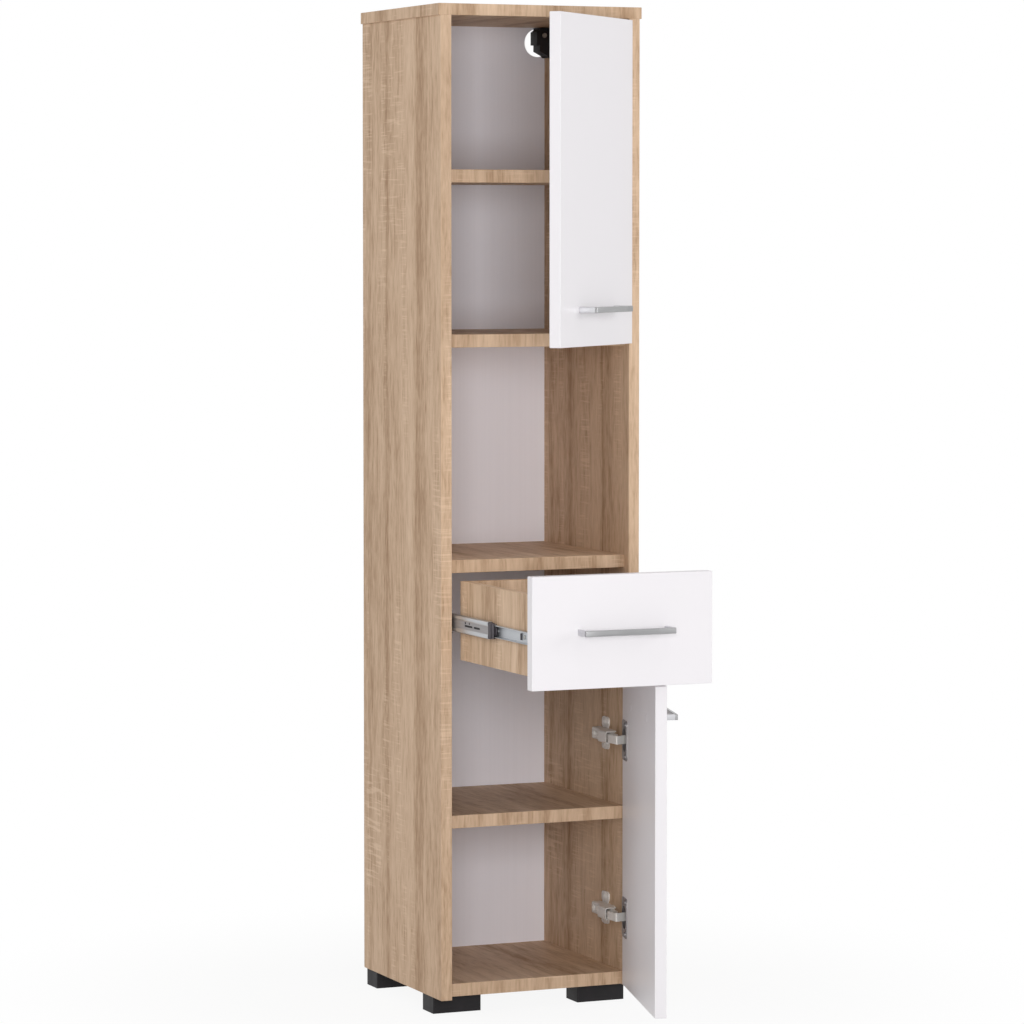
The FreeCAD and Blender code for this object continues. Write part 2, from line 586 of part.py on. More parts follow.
def hinge_link(z):
    """The bent link between a cup's pin and the arm, with an eye round the pin."""
    pin = (LINK_PIN.x, LINK_PIN.y)
    knees = [(pin[0] + x, pin[1] + y) for x, y in LINK_KNEES]
    end = (pin[0] + LINK_END[0], pin[1] + LINK_END[1])
    low, high = z - LINK_WIDTH / 2, z + LINK_WIDTH / 2
    strip = band([pin] + knees + [end], LINK_THICK, low, high)
    bends = lambda e: along(2)(e) and any(near(e, knee, 3.0) for knee in knees)
    strip = softened(strip, 0.9, bends)
    eye = rod((pin[0], pin[1], low), (0, 0, 1), PIN_RADIUS + EYE_WALL, LINK_WIDTH)
    roller = rod((end[0], end[1], low), (0, 0, 1), ROLLER_RADIUS, LINK_WIDTH)
    bore = rod((pin[0], pin[1], low - 1), (0, 0, 1), PIN_RADIUS + CLEARANCE, LINK_WIDTH + 2)
    return strip.fuse(eye).fuse(roller).cut(bore).removeSplitter()


def near(edge, point, distance):
    """True where a vertical edge stands close to a point in the XY plane."""
    place = edge.Vertexes[0].Point
    return math.hypot(place.x - point[0], place.y - point[1]) < distance


# ---------------------------------------------------------------- handles
def handle(z):
    """A bar handle on a closed front: a flat bar on two posts, in one piece."""
    left, right = -HANDLE_LENGTH / 2, HANDLE_LENGTH / 2
    low, high = z - HANDLE_TALL / 2, z + HANDLE_TALL / 2
    outer = block((left, FACE_Y - HANDLE_REACH, low), (right, FACE_Y, high))
    outer = softened(outer, HANDLE_ROUND, lambda e: e.BoundBox.YMax < FACE_Y - HANDLE_REACH + 0.1)
    gap = block((left + HANDLE_POST, FACE_Y - HANDLE_REACH + HANDLE_BAR, low - 1),
                (right - HANDLE_POST, FACE_Y + 1, high + 1))
    seam_y = FACE_Y - HANDLE_REACH + HANDLE_BAR
    body = outer.cut(gap)
    for x in (left, right):
        groove = block((x - HANDLE_SEAM, seam_y - HANDLE_SEAM, low - 1),
                       (x + HANDLE_SEAM, seam_y + HANDLE_SEAM, high + 1))
        body = body.cut(groove)
    return body


def handle_screws(z):
    """Two sunk screws from inside a closed front into the handle's posts, and their bores."""
    screws, bores = [], []
    for s in (-1, 1):
        x = s * (HANDLE_LENGTH - HANDLE_POST) / 2
        place = (x, INSIDE_Y - HANDLE_SCREW_SINK, z)
        length = FRONT_BOARD - HANDLE_SCREW_SINK + HANDLE_GRIP
        screws.append(screw(place, (0, -1, 0), HANDLE_SCREW_RADIUS, length,
                            HANDLE_SCREW_HEAD, HANDLE_SCREW_HEAD_TALL))
        bores.append(rod(place, (0, -1, 0), HANDLE_SCREW_RADIUS + CLEARANCE, length + CLEARANCE))
        bores.append(rod(place, (0, 1, 0), HANDLE_SCREW_HEAD + CLEARANCE, HANDLE_SCREW_SINK + 1))
    return screws, bores


# ---------------------------------------------------------------- doors
FRONT_ROUND = 0.8


def door(name, door_z, angle):
    """One door with its cups, pins, links, handle and screws, swung to its photographed angle."""
    board = block((-FRONT_HALF, FACE_Y, door_z), (FRONT_HALF, INSIDE_Y, door_z + DOOR_HEIGHT))
    board = softened(board, FRONT_ROUND)
    if name == "upper":
        handle_z = door_z + HANDLE_INSET
    else:
        handle_z = door_z + DOOR_HEIGHT - HANDLE_INSET
    bar = handle(handle_z)
    bar_screws, bores = handle_screws(handle_z)
    bar = drilled(bar, bores)
    cups, pins, links, cup_screws = [], [], [], []
    cup_x = FRONT_HALF - CUP_EDGE
    for z in hinge_heights(door_z):
        start = (cup_x, INSIDE_Y - CUP_DEPTH - 2 * CLEARANCE, z)
        pocket = rod(start, (0, 1, 0), CUP_RADIUS + CLEARANCE, CUP_DEPTH + 2)
        bores.append(pocket)
        cup = hinge_cup(z)
        for s in (-1, 1):
            place = (cup_x - CUP_SCREW_BEHIND, INSIDE_Y + CUP_FLANGE, z + s * CUP_SCREW_SPACING / 2)
            cup_screws.append(screw(place, (0, -1, 0), CUP_SCREW_RADIUS, CUP_SCREW_LENGTH,
                                    CUP_SCREW_HEAD, CUP_SCREW_HEAD_TALL))
            bore = rod(place, (0, -1, 0), CUP_SCREW_RADIUS + CLEARANCE, CUP_SCREW_LENGTH + 2 * CLEARANCE)
            cup = cup.cut(bore)
            bores.append(bore)
        cups.append(cup)
        pins.append(link_pin(z))
        turned = opened(hinge_link(z), -LINK_RATIO * angle, LINK_PIN)
        links.append(opened(turned, angle))
    group = {
        "panel": [drilled(board, bores)],
        "hinge_cups": cups,
        "link_pins": pins,
        "cup_screws": cup_screws,
        "handle": [bar],
        "handle_screws": bar_screws,
    }
    for part, solids in group.items():
        node("%s_door_%s" % (name, part), *[opened(s, angle) for s in solids])
    node("%s_door_hinge_links" % name, *links)


# ---------------------------------------------------------------- drawer
BOX_SCREW_RADIUS, BOX_SCREW_LENGTH = 2.0, 30.0
BOX_SCREW_HEAD, BOX_SCREW_HEAD_TALL, BOX_SCREW_SINK = 3.4, 1.8, 2.0
BOX_FIXING_IN = 25.0          # from the drawer sides' upper and lower edges
BOX_DOWEL_RADIUS, BOX_DOWEL_LENGTH, BOX_DOWEL_SINK = 3.0, 30.0, 10.0
GROOVE_DEEP, GROOVE_PLAY = 6.0, 0.2   # the drawer bottom lies in grooves


def pulled(shape, travel=DRAWER_PULL):
    """A piece of the closed drawer, pulled out towards the front."""
    moved = shape.copy()
    moved.translate(Vector(0, -travel, 0))
    return moved


def drawer(member_screws, side_bores):
    """Front, sides, back, bottom, handle and screws of the drawer."""
    top = DRAWER_FRONT_Z + DRAWER_FRONT_HEIGHT
    front = block((-FRONT_HALF, FACE_Y, DRAWER_FRONT_Z), (FRONT_HALF, INSIDE_Y, top))
    front = softened(front, FRONT_ROUND)
    handle_z = DRAWER_FRONT_Z + DRAWER_FRONT_HEIGHT / 2
    bar = handle(handle_z)
    bar_screws, bores = handle_screws(handle_z)
    box_back = INSIDE_Y + DRAWER_BOX_LENGTH
    box_top = DRAWER_BOX_Z + DRAWER_BOX_HEIGHT
    floor = DRAWER_BOX_Z + DRAWER_FLOOR_UP
    inner_x = BOX_HALF - DRAWER_BOARD
    reach_x, reach_y = inner_x + GROOVE_DEEP, box_back - DRAWER_BOARD + GROOVE_DEEP
    bottom = block((-reach_x, INSIDE_Y, floor), (reach_x, reach_y, floor + THIN_BOARD))
    groove = block((-reach_x - GROOVE_PLAY, INSIDE_Y - 1, floor - GROOVE_PLAY / 2),
                   (reach_x + GROOVE_PLAY, reach_y + GROOVE_PLAY, floor + THIN_BOARD + GROOVE_PLAY / 2))
    back = block((-inner_x, box_back - DRAWER_BOARD, DRAWER_BOX_Z), (inner_x, box_back, box_top)).cut(groove)
    screws = []
    back_bores = []
    for side, s in SIDES:
        for z in (DRAWER_BOX_Z + BOX_FIXING_IN, box_top - BOX_FIXING_IN):
            head = (s * (BOX_HALF - BOX_SCREW_SINK), box_back - DRAWER_BOARD / 2, z)
            screws.append(screw(head, (-s, 0, 0), BOX_SCREW_RADIUS, BOX_SCREW_LENGTH,
                                BOX_SCREW_HEAD, BOX_SCREW_HEAD_TALL))
            bore = rod(head, (-s, 0, 0), BOX_SCREW_RADIUS + CLEARANCE, BOX_SCREW_LENGTH + CLEARANCE)
            sink = rod(head, (s, 0, 0), BOX_SCREW_HEAD + 2 * CLEARANCE, 2 * BOX_SCREW_SINK)
            side_bores[side] += [bore, sink]
            back_bores.append(bore)
            x = s * (BOX_HALF - DRAWER_BOARD / 2)
            start = (x, INSIDE_Y - BOX_DOWEL_SINK, z)
            screws.append(rod(start, (0, 1, 0), BOX_DOWEL_RADIUS, BOX_DOWEL_LENGTH))
            bore = rod(start, (0, 1, 0), BOX_DOWEL_RADIUS + CLEARANCE, BOX_DOWEL_LENGTH + 2 * CLEARANCE)
            bores.append(bore)
            side_bores[side].append(bore)
    for side, s in SIDES:
        board = block((s * BOX_HALF, INSIDE_Y, DRAWER_BOX_Z), (s * inner_x, box_back, box_top))
        board = softened(board, 0.4, lambda e: e.BoundBox.ZMin > box_top - 0.1 and along(1)(e))
        node("drawer_side_" + side, pulled(drilled(board.cut(groove), side_bores[side])))
    node("drawer_front", pulled(drilled(front, bores)))
    node("drawer_back", pulled(drilled(back, back_bores)))
    node("drawer_bottom", pulled(bottom))
    node("drawer_handle", pulled(drilled(bar, bores)))
    node("drawer_handle_screws", *[pulled(s) for s in bar_screws])
    node("drawer_box_fixings", *[pulled(s) for s in screws], *member_screws)


# ---------------------------------------------------------------- drawer slides
RAIL_SHEET, MEMBER_SHEET = 1.2, 1.0
CAGE_SHEET = 0.5
OUTER_CAGE_LENGTH, INNER_CAGE_LENGTH = 70.0, 120.0
CAGE_BALLS = 7
MEMBER_SCREWS = (28.0, 120.0, 222.0)   # from the drawer member's front end
MEMBER_SCREW_RADIUS, MEMBER_SCREW_LENGTH, MEMBER_SCREW_HEAD = 1.6, 10.0, 3.0
RAIL_SCREWS = (30.0, 125.0, 220.0)     # from the rail's front end
RAIL_SCREW_RADIUS, RAIL_SCREW_LENGTH, RAIL_SCREW_HEAD = 1.8, 12.0, 3.4
SLIDE_SCREW_HEAD_TALL = 0.8
RAIL_DEEP, MEMBER_DEEP = 9.2, 6.8      # from web face to lips
MIDDLE_WEB, MIDDLE_LIP = 3.4, 9.7      # from the side panel's inner face
OUTER_CAGE_X = (2.3, 8.5, 6.2)         # a cage's web, lips and balls, from there too
INNER_CAGE_X = (4.75, 9.5, 7.6)
RETAINER_GAP = 0.2
SLOT_HALF = 1.2
WEB_SLOTS = ((58.0, 22.0), (84.0, 28.0), (180.0, 24.0))   # from the middle member's front end
SLIDE_MIDDLE_Y = FRONT_Y + SLIDE_FRONT + SLIDE_LENGTH / 2


def channel(s, web_x, lip_x, half, sheet, y_low, y_high):
    """A C section along Y: a web at web_x and two flanges that reach to lip_x."""
    toward = 1 if lip_x > web_x else -1
    outer = block((s * web_x, y_low, SLIDE_Z - half), (s * lip_x, y_high, SLIDE_Z + half))
    inner = block((s * (web_x + toward * sheet), y_low - 1, SLIDE_Z - half + sheet),
                  (s * (lip_x + toward), y_high + 1, SLIDE_Z + half - sheet))
    return outer.cut(inner)


def ball_cage(s, places, ball_z, ball_radius, length):
    """A C shaped strip that holds two rows of balls, centred on the closed slide."""
    web_x, lip_x, ball_x = [INNER - inward for inward in places]
    low, high = SLIDE_MIDDLE_Y - length / 2, SLIDE_MIDDLE_Y + length / 2
    strip = channel(s, web_x, lip_x, ball_z + CAGE_SHEET / 2, CAGE_SHEET, low, high)
    balls, holes = [], []
    for i in range(CAGE_BALLS):
        y = low + length * (i + 0.5) / CAGE_BALLS
        for side in (-1, 1):
            centre = Vector(s * ball_x, y, SLIDE_Z + side * ball_z)
            balls.append(Part.makeSphere(ball_radius, centre))
            holes.append(rod(centre - UP, (0, 0, 1), ball_radius + CLEARANCE, 2))
    return [drilled(strip, holes)] + balls


def slides(holes):
    """Rails, middle members, drawer members and ball cages of both slides."""
    y_low, y_high = FRONT_Y + SLIDE_FRONT, FRONT_Y + SLIDE_FRONT + SLIDE_LENGTH
    web, lip = INNER - MIDDLE_WEB, INNER - MIDDLE_LIP
    outer_z = (RAIL_HALF - RAIL_SHEET + MIDDLE_HALF) / 2
    inner_z = (MIDDLE_HALF - MEMBER_SHEET + MEMBER_HALF) / 2
    rail_screws, member_screws = [], []
    side_bores = {"left": [], "right": []}
    for side, s in SIDES:
        rail = channel(s, INNER, INNER - RAIL_DEEP, RAIL_HALF, RAIL_SHEET, y_low, y_high)
        for back in RAIL_SCREWS:
            head = (s * (INNER - RAIL_SHEET), y_low + back, SLIDE_Z)
            rail_screws.append(screw(head, (s, 0, 0), RAIL_SCREW_RADIUS, RAIL_SCREW_LENGTH,
                                     RAIL_SCREW_HEAD, SLIDE_SCREW_HEAD_TALL))
            bore = rod(head, (s, 0, 0), RAIL_SCREW_RADIUS + CLEARANCE, RAIL_SCREW_LENGTH + 2 * CLEARANCE)
            rail = rail.cut(bore)
            holes[side].append(bore)
        node("slide_rail_" + side, rail)
        middle = channel(s, web, lip, MIDDLE_HALF, MEMBER_SHEET, y_low + RETAINER_LENGTH, y_high)
        slots = []
        for start, length in WEB_SLOTS:
            slots.append(block((s * (web + 1), y_low + start, SLIDE_Z - SLOT_HALF),
                               (s * (web - 2), y_low + start + length, SLIDE_Z + SLOT_HALF)))
        node("slide_middle_" + side, pulled(drilled(middle, slots), MIDDLE_PULL))
        end = channel(s, web, lip, MIDDLE_HALF, MEMBER_SHEET, y_low, y_low + RETAINER_LENGTH - RETAINER_GAP)
        node("slide_retainer_" + side, pulled(end, MIDDLE_PULL))
        member = channel(s, BOX_HALF, BOX_HALF + MEMBER_DEEP, MEMBER_HALF, MEMBER_SHEET, y_low, y_high)
        for back in MEMBER_SCREWS:
            head = (s * (BOX_HALF + MEMBER_SHEET), y_low + back, SLIDE_Z)
            member_screws.append(pulled(screw(head, (-s, 0, 0), MEMBER_SCREW_RADIUS, MEMBER_SCREW_LENGTH,
                                              MEMBER_SCREW_HEAD, SLIDE_SCREW_HEAD_TALL)))
            bore = rod(head, (-s, 0, 0), MEMBER_SCREW_RADIUS + CLEARANCE, MEMBER_SCREW_LENGTH + 2 * CLEARANCE)
            member = member.cut(bore)
            side_bores[side].append(bore)
        node("slide_member_" + side, pulled(member))
        outer = ball_cage(s, OUTER_CAGE_X, outer_z, OUTER_BALL, OUTER_CAGE_LENGTH)
        node("ball_cage_outer_" + side, *[pulled(b, MIDDLE_PULL / 2) for b in outer])
        inner = ball_cage(s, INNER_CAGE_X, inner_z, INNER_BALL, INNER_CAGE_LENGTH)
        travel = (MIDDLE_PULL + DRAWER_PULL) / 2
        node("ball_cage_inner_" + side, *[pulled(b, travel) for b in inner])
    node("slide_rail_screws", *rail_screws)
    return member_screws, side_bores


# ---------------------------------------------------------------- assembly
def main():
    """Build every node and write one file for each."""
    holes, board_holes = carcass_fasteners()
    shelf_pins(holes)
    feet(board_holes)
    for side, bores in back_panel().items():
        holes[side] += bores
    hangers(holes)
    hinge_fixed_side(holes)
    member_screws, side_bores = slides(holes)
    carcass_boards(holes, board_holes)
    for name, door_z, angle in DOORS:
        door(name, door_z, angle)
    drawer(member_screws, side_bores)
    os.makedirs("parts", exist_ok=True)
    for name, shape in sorted(NODES.items()):
        shape.exportStep("parts/%s.step" % name)
        if not shape.isValid():
            print("not valid:", name)
    print(len(NODES), "nodes")


main()
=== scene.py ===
"""Finishes, rolled slides, bent hinge arms and bar handles for a tall bathroom cabinet.

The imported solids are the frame. Boards and small parts keep their solids and get a finish here;
the slides, hinge arms, hinge plates, handles and cover caps are built anew around the same places.
Shapes are worked out in millimetres, in the frame's own axes, and scaled when a mesh is made.
"""

import functools
import json
import math

import bpy
import numpy as np
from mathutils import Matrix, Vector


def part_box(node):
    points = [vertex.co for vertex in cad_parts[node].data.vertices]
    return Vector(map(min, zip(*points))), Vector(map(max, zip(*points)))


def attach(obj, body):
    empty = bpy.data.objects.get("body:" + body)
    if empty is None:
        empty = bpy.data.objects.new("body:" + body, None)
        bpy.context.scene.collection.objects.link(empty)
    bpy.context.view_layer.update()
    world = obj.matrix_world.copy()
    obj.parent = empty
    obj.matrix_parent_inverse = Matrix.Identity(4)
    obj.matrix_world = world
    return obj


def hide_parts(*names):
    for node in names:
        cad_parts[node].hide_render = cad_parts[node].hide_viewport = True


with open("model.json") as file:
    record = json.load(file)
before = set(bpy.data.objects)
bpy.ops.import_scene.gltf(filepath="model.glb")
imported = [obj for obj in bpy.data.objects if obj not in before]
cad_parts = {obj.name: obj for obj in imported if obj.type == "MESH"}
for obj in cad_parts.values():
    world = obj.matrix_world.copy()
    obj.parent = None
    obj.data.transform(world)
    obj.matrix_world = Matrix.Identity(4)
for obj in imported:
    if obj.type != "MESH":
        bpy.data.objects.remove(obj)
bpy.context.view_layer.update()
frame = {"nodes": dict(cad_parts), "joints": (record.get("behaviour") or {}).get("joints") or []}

bl_info = {
    "name": "Tall bathroom cabinet",
    "version": (1, 0, 0),
    "blender": (4, 5, 0),
    "location": "View3D > Sidebar > Cabinet",
    "description": "Finishes a tall cabinet's boards and builds its handles, slides and hinges",
    "category": "Object",
}

MM = 0.001
SIDES = (("left", -1), ("right", 1))
DOORS = ("upper", "lower")


# ---------------------------------------------------------------- places read from the frame
def corners(node):
    """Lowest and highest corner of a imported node, in millimetres."""
    low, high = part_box(node)
    return np.array(low) / MM, np.array(high) / MM


def joint(name):
    """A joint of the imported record."""
    return next(j for j in frame["joints"] if j["name"] == name)


def opening(door):
    """How far a door stands open, in degrees."""
    return -joint(door + "_door_hinge")["range_deg"][0]


def middle_z(node):
    """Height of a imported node's middle, in millimetres."""
    low, high = corners(node)
    return (low[2] + high[2]) / 2


def ends_y(node):
    """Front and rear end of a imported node, in millimetres."""
    low, high = corners(node)
    return low[1], high[1]


INNER = corners("side_panel_right")[0][0]           # inner face of a side panel
FRONT_Y = ends_y("side_panel_left")[0]              # front edges of the side panels
SLIDE_Z = middle_z("slide_rail_left")
HANDLE_LOW, HANDLE_HIGH = corners("drawer_handle")
HANDLE_LONG, HANDLE_REACH, HANDLE_TALL = HANDLE_HIGH - HANDLE_LOW
DRAWER_PULL = -joint("drawer_slide")["range_m"][0] / MM
FACE_Y = HANDLE_HIGH[1] + DRAWER_PULL               # outer faces of the closed fronts
INSIDE_Y = ends_y("drawer_front")[1] + DRAWER_PULL
HINGE_AXIS = np.array(joint("upper_door_hinge")["pos_m"][:2]) / MM


def shade(red, green, blue):
    """A colour given as it looks on a screen, 0 to 255, as scene linear values."""
    c = np.array((red, green, blue)) / 255
    return tuple(np.where(c <= 0.04045, c / 12.92, ((c + 0.055) / 1.055) ** 2.4).tolist())


# ---------------------------------------------------------------- settings
def colour_setting(name, description, default):
    """A colour that a user may change. Its default is given as it looks on a screen."""
    return bpy.props.FloatVectorProperty(
        name=name, description=description, subtype="COLOR", size=3, min=0, max=1,
        default=shade(*default))


def number_setting(name, description, default, **more):
    """A number that a user may change."""
    return bpy.props.FloatProperty(name=name, description=description, default=default, **more)


def length_setting(name, description, default):
    """A length in metres that a user may change."""
    return number_setting(name, description, default, subtype="DISTANCE", unit="LENGTH", min=0,
                          precision=5)


def power_setting(name, description, default):
    """A lamp's power in watts that a user may change."""
    return number_setting(name, description, default, unit="POWER", min=0)


class CabinetColours(bpy.types.PropertyGroup):
    """Colours of the finishes."""

    oak_light: colour_setting("Light oak", "Lightest tone of the sawn oak print", (221, 192, 163))
    oak_middle: colour_setting("Oak", "Middle tone of the sawn oak print", (201, 171, 142))
    oak_dark: colour_setting("Dark oak", "Tone of the print's growth lines", (157, 124, 94))
    white: colour_setting("White", "Melamine of the doors and the drawer front", (236, 233, 236))
    board: colour_setting("Back board", "Painted face of the thin boards", (240, 238, 245))
    fibre: colour_setting("Fibreboard", "Raw rear face of the back panel", (150, 112, 78))
    # Black also colours the strips behind the slides' slots, which are painted shade seen through the
    # slots.
    black: colour_setting("Black plastic", "Feet, hangers and the slides' strips", (25, 23, 25))
    grey: colour_setting("Grey plastic", "Ends, stops and inner cages of the slides", (70, 66, 70))
    bar: colour_setting("Handle bar", "Satin front bar of a handle", (164, 164, 165))
    post: colour_setting("Handle post", "Plated posts of a handle", (203, 203, 206))
    # The cups' plating is darker than the hinges' nickel: painted shade, so that their flange edges read
    # as dark lines.
    cup: colour_setting("Hinge cup", "Plating of the hinge cups and their flanges", (152, 148, 149))
    nickel: colour_setting("Nickel", "Plating of the hinges", (232, 228, 223))
    zinc: colour_setting("Zinc", "Plating of the slides", (190, 193, 197))
    screw: colour_setting("Screws", "Plating of screws, pins and cams", (176, 175, 172))
    beech: colour_setting("Beech", "Wood of the dowels", (206, 170, 122))


class CabinetFittings(bpy.types.PropertyGroup):
    """Sizes of the rolled, bent and moulded fittings."""

    rolled_sheet: length_setting("Slide sheet", "Sheet that the slides are rolled from", 0.0008)
    rim_out: length_setting("Race rim", "How far a middle member's races stand out", 0.00045)
    arm_sheet: length_setting("Arm sheet", "Sheet that the hinge arms are bent from", 0.0014)
    arm_bend: length_setting("Arm bend", "Outer radius of a hinge arm's long bends", 0.0028)
    plate_round: length_setting("Plate rounding", "Rounding of a hinge plate's upper edges", 0.0006)
    handle_round: length_setting("Handle rounding", "Rounding of a handle's long edges", 0.0007)
    handle_line: length_setting("Handle joint", "Line between a handle's bar and its posts", 0.0003)
    cap_radius: length_setting("Cap radius", "Cover caps over the sunk screws", 0.0054)
    cap_height: length_setting("Cap height", "Cover caps, above the board", 0.0006)


class CabinetStage(bpy.types.PropertyGroup):
    """Floor, lamps, surroundings and camera."""

    surround: number_setting(
        "Surroundings", "Strength of the even light from all round", 0.46, min=0)
    key_power: power_setting("Key lamp", "Power of the large lamp in front", 69.0)
    fill_power: power_setting("Fill lamp", "Power of the lamp on the left", 25.0)
    side_power: power_setting("Side lamp", "Power of the lamp on the right", 38.0)
    floor_tone: number_setting(
        "Floor tone", "How much of the light the floor gives back", 0.8, min=0, max=1)
    floor_shadow: number_setting(
        "Floor shadow", "How much of the object's shadow the floor shows", 0.09, min=0, max=1)
    camera_place: bpy.props.FloatVectorProperty(
        name="Camera place", description="Where the camera stands", subtype="TRANSLATION",
        unit="LENGTH", size=3, default=(-2.3369401, -5.4797323, 1.0896703))
    camera_yaw: number_setting(
        "Camera yaw", "How far the camera is turned to the right", math.radians(23.2672),
        subtype="ANGLE")
    camera_dip: number_setting(
        "Camera dip", "How far the camera looks down", math.radians(3.1382), subtype="ANGLE")
    camera_lens: number_setting(
        "Lens", "Focal length on a 36 mm wide sensor", 147.722, subtype="DISTANCE_CAMERA", min=1)
    camera_shift: number_setting(
        "Shift", "Upright shift of the view, as a share of the frame", -0.05)


def colour(name):
    """One of the finish colours with full opacity."""
    return tuple(getattr(bpy.context.scene.cabinet_colours, name)) + (1.0,)


def toned(tone, share):
    """A colour made deeper or paler by one factor, or by a factor for each channel."""
    return tuple(np.minimum(np.array(tone[:3]) * share, 1.0).tolist()) + (1.0,)


def fitting(name):
    """One of the fitting sizes, in millimetres."""
    return getattr(bpy.context.scene.cabinet_fittings, name) / MM


# ---------------------------------------------------------------- node materials
class Finish:
    """A material or world being made: its methods add nodes and give back their outputs."""

    def __init__(self, name, home="materials"):
        self.made = getattr(bpy.data, home).new(name)
        self.made.use_nodes = True
        self.nodes = self.made.node_tree.nodes
        self.nodes.clear()

    @functools.cached_property
    def place(self):
        """Object coordinates."""
        return self.add("ShaderNodeTexCoord").outputs["Object"]

    def add(self, kind, sockets=None, **settings):
        """A node with its settings, and with its inputs linked or set."""
        node = self.nodes.new(kind)
        for key, value in settings.items():
            setattr(node, key, value)
        for key, value in (sockets or {}).items():
            if isinstance(value, bpy.types.NodeSocket):
                self.made.node_tree.links.new(value, node.inputs[key])
            else:
                node.inputs[key].default_value = value
        return node

    def split(self, vector):
        """The three parts of a vector."""
        return self.add("ShaderNodeSeparateXYZ", {0: vector}).outputs

    def mapped(self, scale, vector=None, turn=(0.0, 0.0, 0.0), shift=(0.0, 0.0, 0.0)):
        """Coordinates turned, moved and scaled separately along each axis."""
        sockets = {"Vector": vector or self.place, "Scale": scale, "Rotation": turn, "Location": shift}
        return self.add("ShaderNodeMapping", sockets).outputs[0]

    def noise(self, scale, detail=2.0, rough=0.5, **mapping):
        """Smooth noise, about 0.5 on average, with a scale for each axis."""
        sockets = {"Vector": self.mapped(scale, **mapping), "Scale": 1.0, "Detail": detail,
                   "Roughness": rough}
        return self.add("ShaderNodeTexNoise", sockets).outputs[0]

    def sum(self, operation, first, second=0.0, third=0.0):
        """One step of arithmetic."""
        sockets = {0: first, 1: second, 2: third}
        return self.add("ShaderNodeMath", sockets, operation=operation).outputs[0]

    def band(self, value, low, high, to_low=0.0, to_high=1.0):
        """A soft step: to_low below low, to_high above high."""
        sockets = {0: value, 1: low, 2: high, 3: to_low, 4: to_high}
        return self.add("ShaderNodeMapRange", sockets, interpolation_type="SMOOTHSTEP").outputs[0]

    def choose(self, share, first, second):
        """A number between two others."""
        return self.add("ShaderNodeMix", {0: share, 2: first, 3: second}).outputs[0]

    def blend(self, share, first, second):
        """A colour between two others."""
        return self.add("ShaderNodeMix", {0: share, 6: first, 7: second}, data_type="RGBA").outputs[2]

    def ramp(self, value, stops):
        """Colours laid out along a value, given as (position, colour)."""
        node = self.add("ShaderNodeValToRGB", {0: value})
        elements = node.color_ramp.elements
        elements[0].position, elements[0].color = stops[0]
        elements[1].position, elements[1].color = stops[-1]
        for position, tone in stops[1:-1]:
            elements.new(position).color = tone
        return node.outputs[0]

    def bump(self, height, distance, strength, normal=None):
        """A relief of the given height in metres."""
        sockets = {"Height": height, "Distance": distance, "Strength": strength}
        if normal is not None:
            sockets["Normal"] = normal
        return self.add("ShaderNodeBump", sockets).outputs[0]

    def surface(self, **sockets):
        """The finished surface. Names are the shader's own, with underscores for spaces."""
        named = {key.replace("_", " "): value for key, value in sockets.items()}
        shader = self.add("ShaderNodeBsdfPrincipled", named)
        self.add("ShaderNodeOutputMaterial", {"Surface": shader.outputs[0]})
        return self.made


@functools.cache
def finish(name):
    """The material of a name, made when it is first asked for."""
    return MAKERS[name](name)


# Growth lines of a side panel: place along the depth in metres, half width, darkness.
GROWTH_LINES = ((-0.068, 0.0170, 0.15), (-0.057, 0.0030, 0.11), (0.054, 0.0070, 0.19),
                (0.122, 0.0080, 0.10), (-0.034, 0.0150, -0.10))
SAW_PATCH = (0.108, 0.235)              # middle of a patch of slanting saw marks, along Y and Z
SAW_PATCH_HALF = (0.034, 0.105)
SAW_TILT, SAW_PATCH_TILT = math.radians(4), math.radians(-14)
SWAY = 0.030                            # how far the streaks bend, in metres
PORE_DARK, SAW_LIGHT, SAW_PATCH_LIGHT = 0.10, 0.19, 0.22       # what each does to the tone

# Layers of the print: scale across the grain and along it, per metre, and strength.
PANEL_LAYERS = ((12, 1.3, 0.36), (58, 9.0, 0.42), (180, 22.0, 0.50), (400, 55.0, 0.46))
BOARD_LAYERS = ((30, 2.0, 0.85), (75, 8.0, 0.50), (210, 22.0, 0.45), (430, 50.0, 0.30))


def grain_space(f):
    """Coordinates whose third axis is the grain, and the object's own Y and Z.

    The grain is upright on upright faces and runs front to back on level ones.
    """
    x, y, z = f.split(f.place)
    rise = f.split(f.add("ShaderNodeNewGeometry").outputs["True Normal"])[2]
    level = f.sum("GREATER_THAN", f.sum("ABSOLUTE", rise), 0.5)
    across, along = f.choose(level, y, z), f.choose(level, z, y)
    return f.add("ShaderNodeCombineXYZ", {0: x, 1: across, 2: along}).outputs[0], y, z


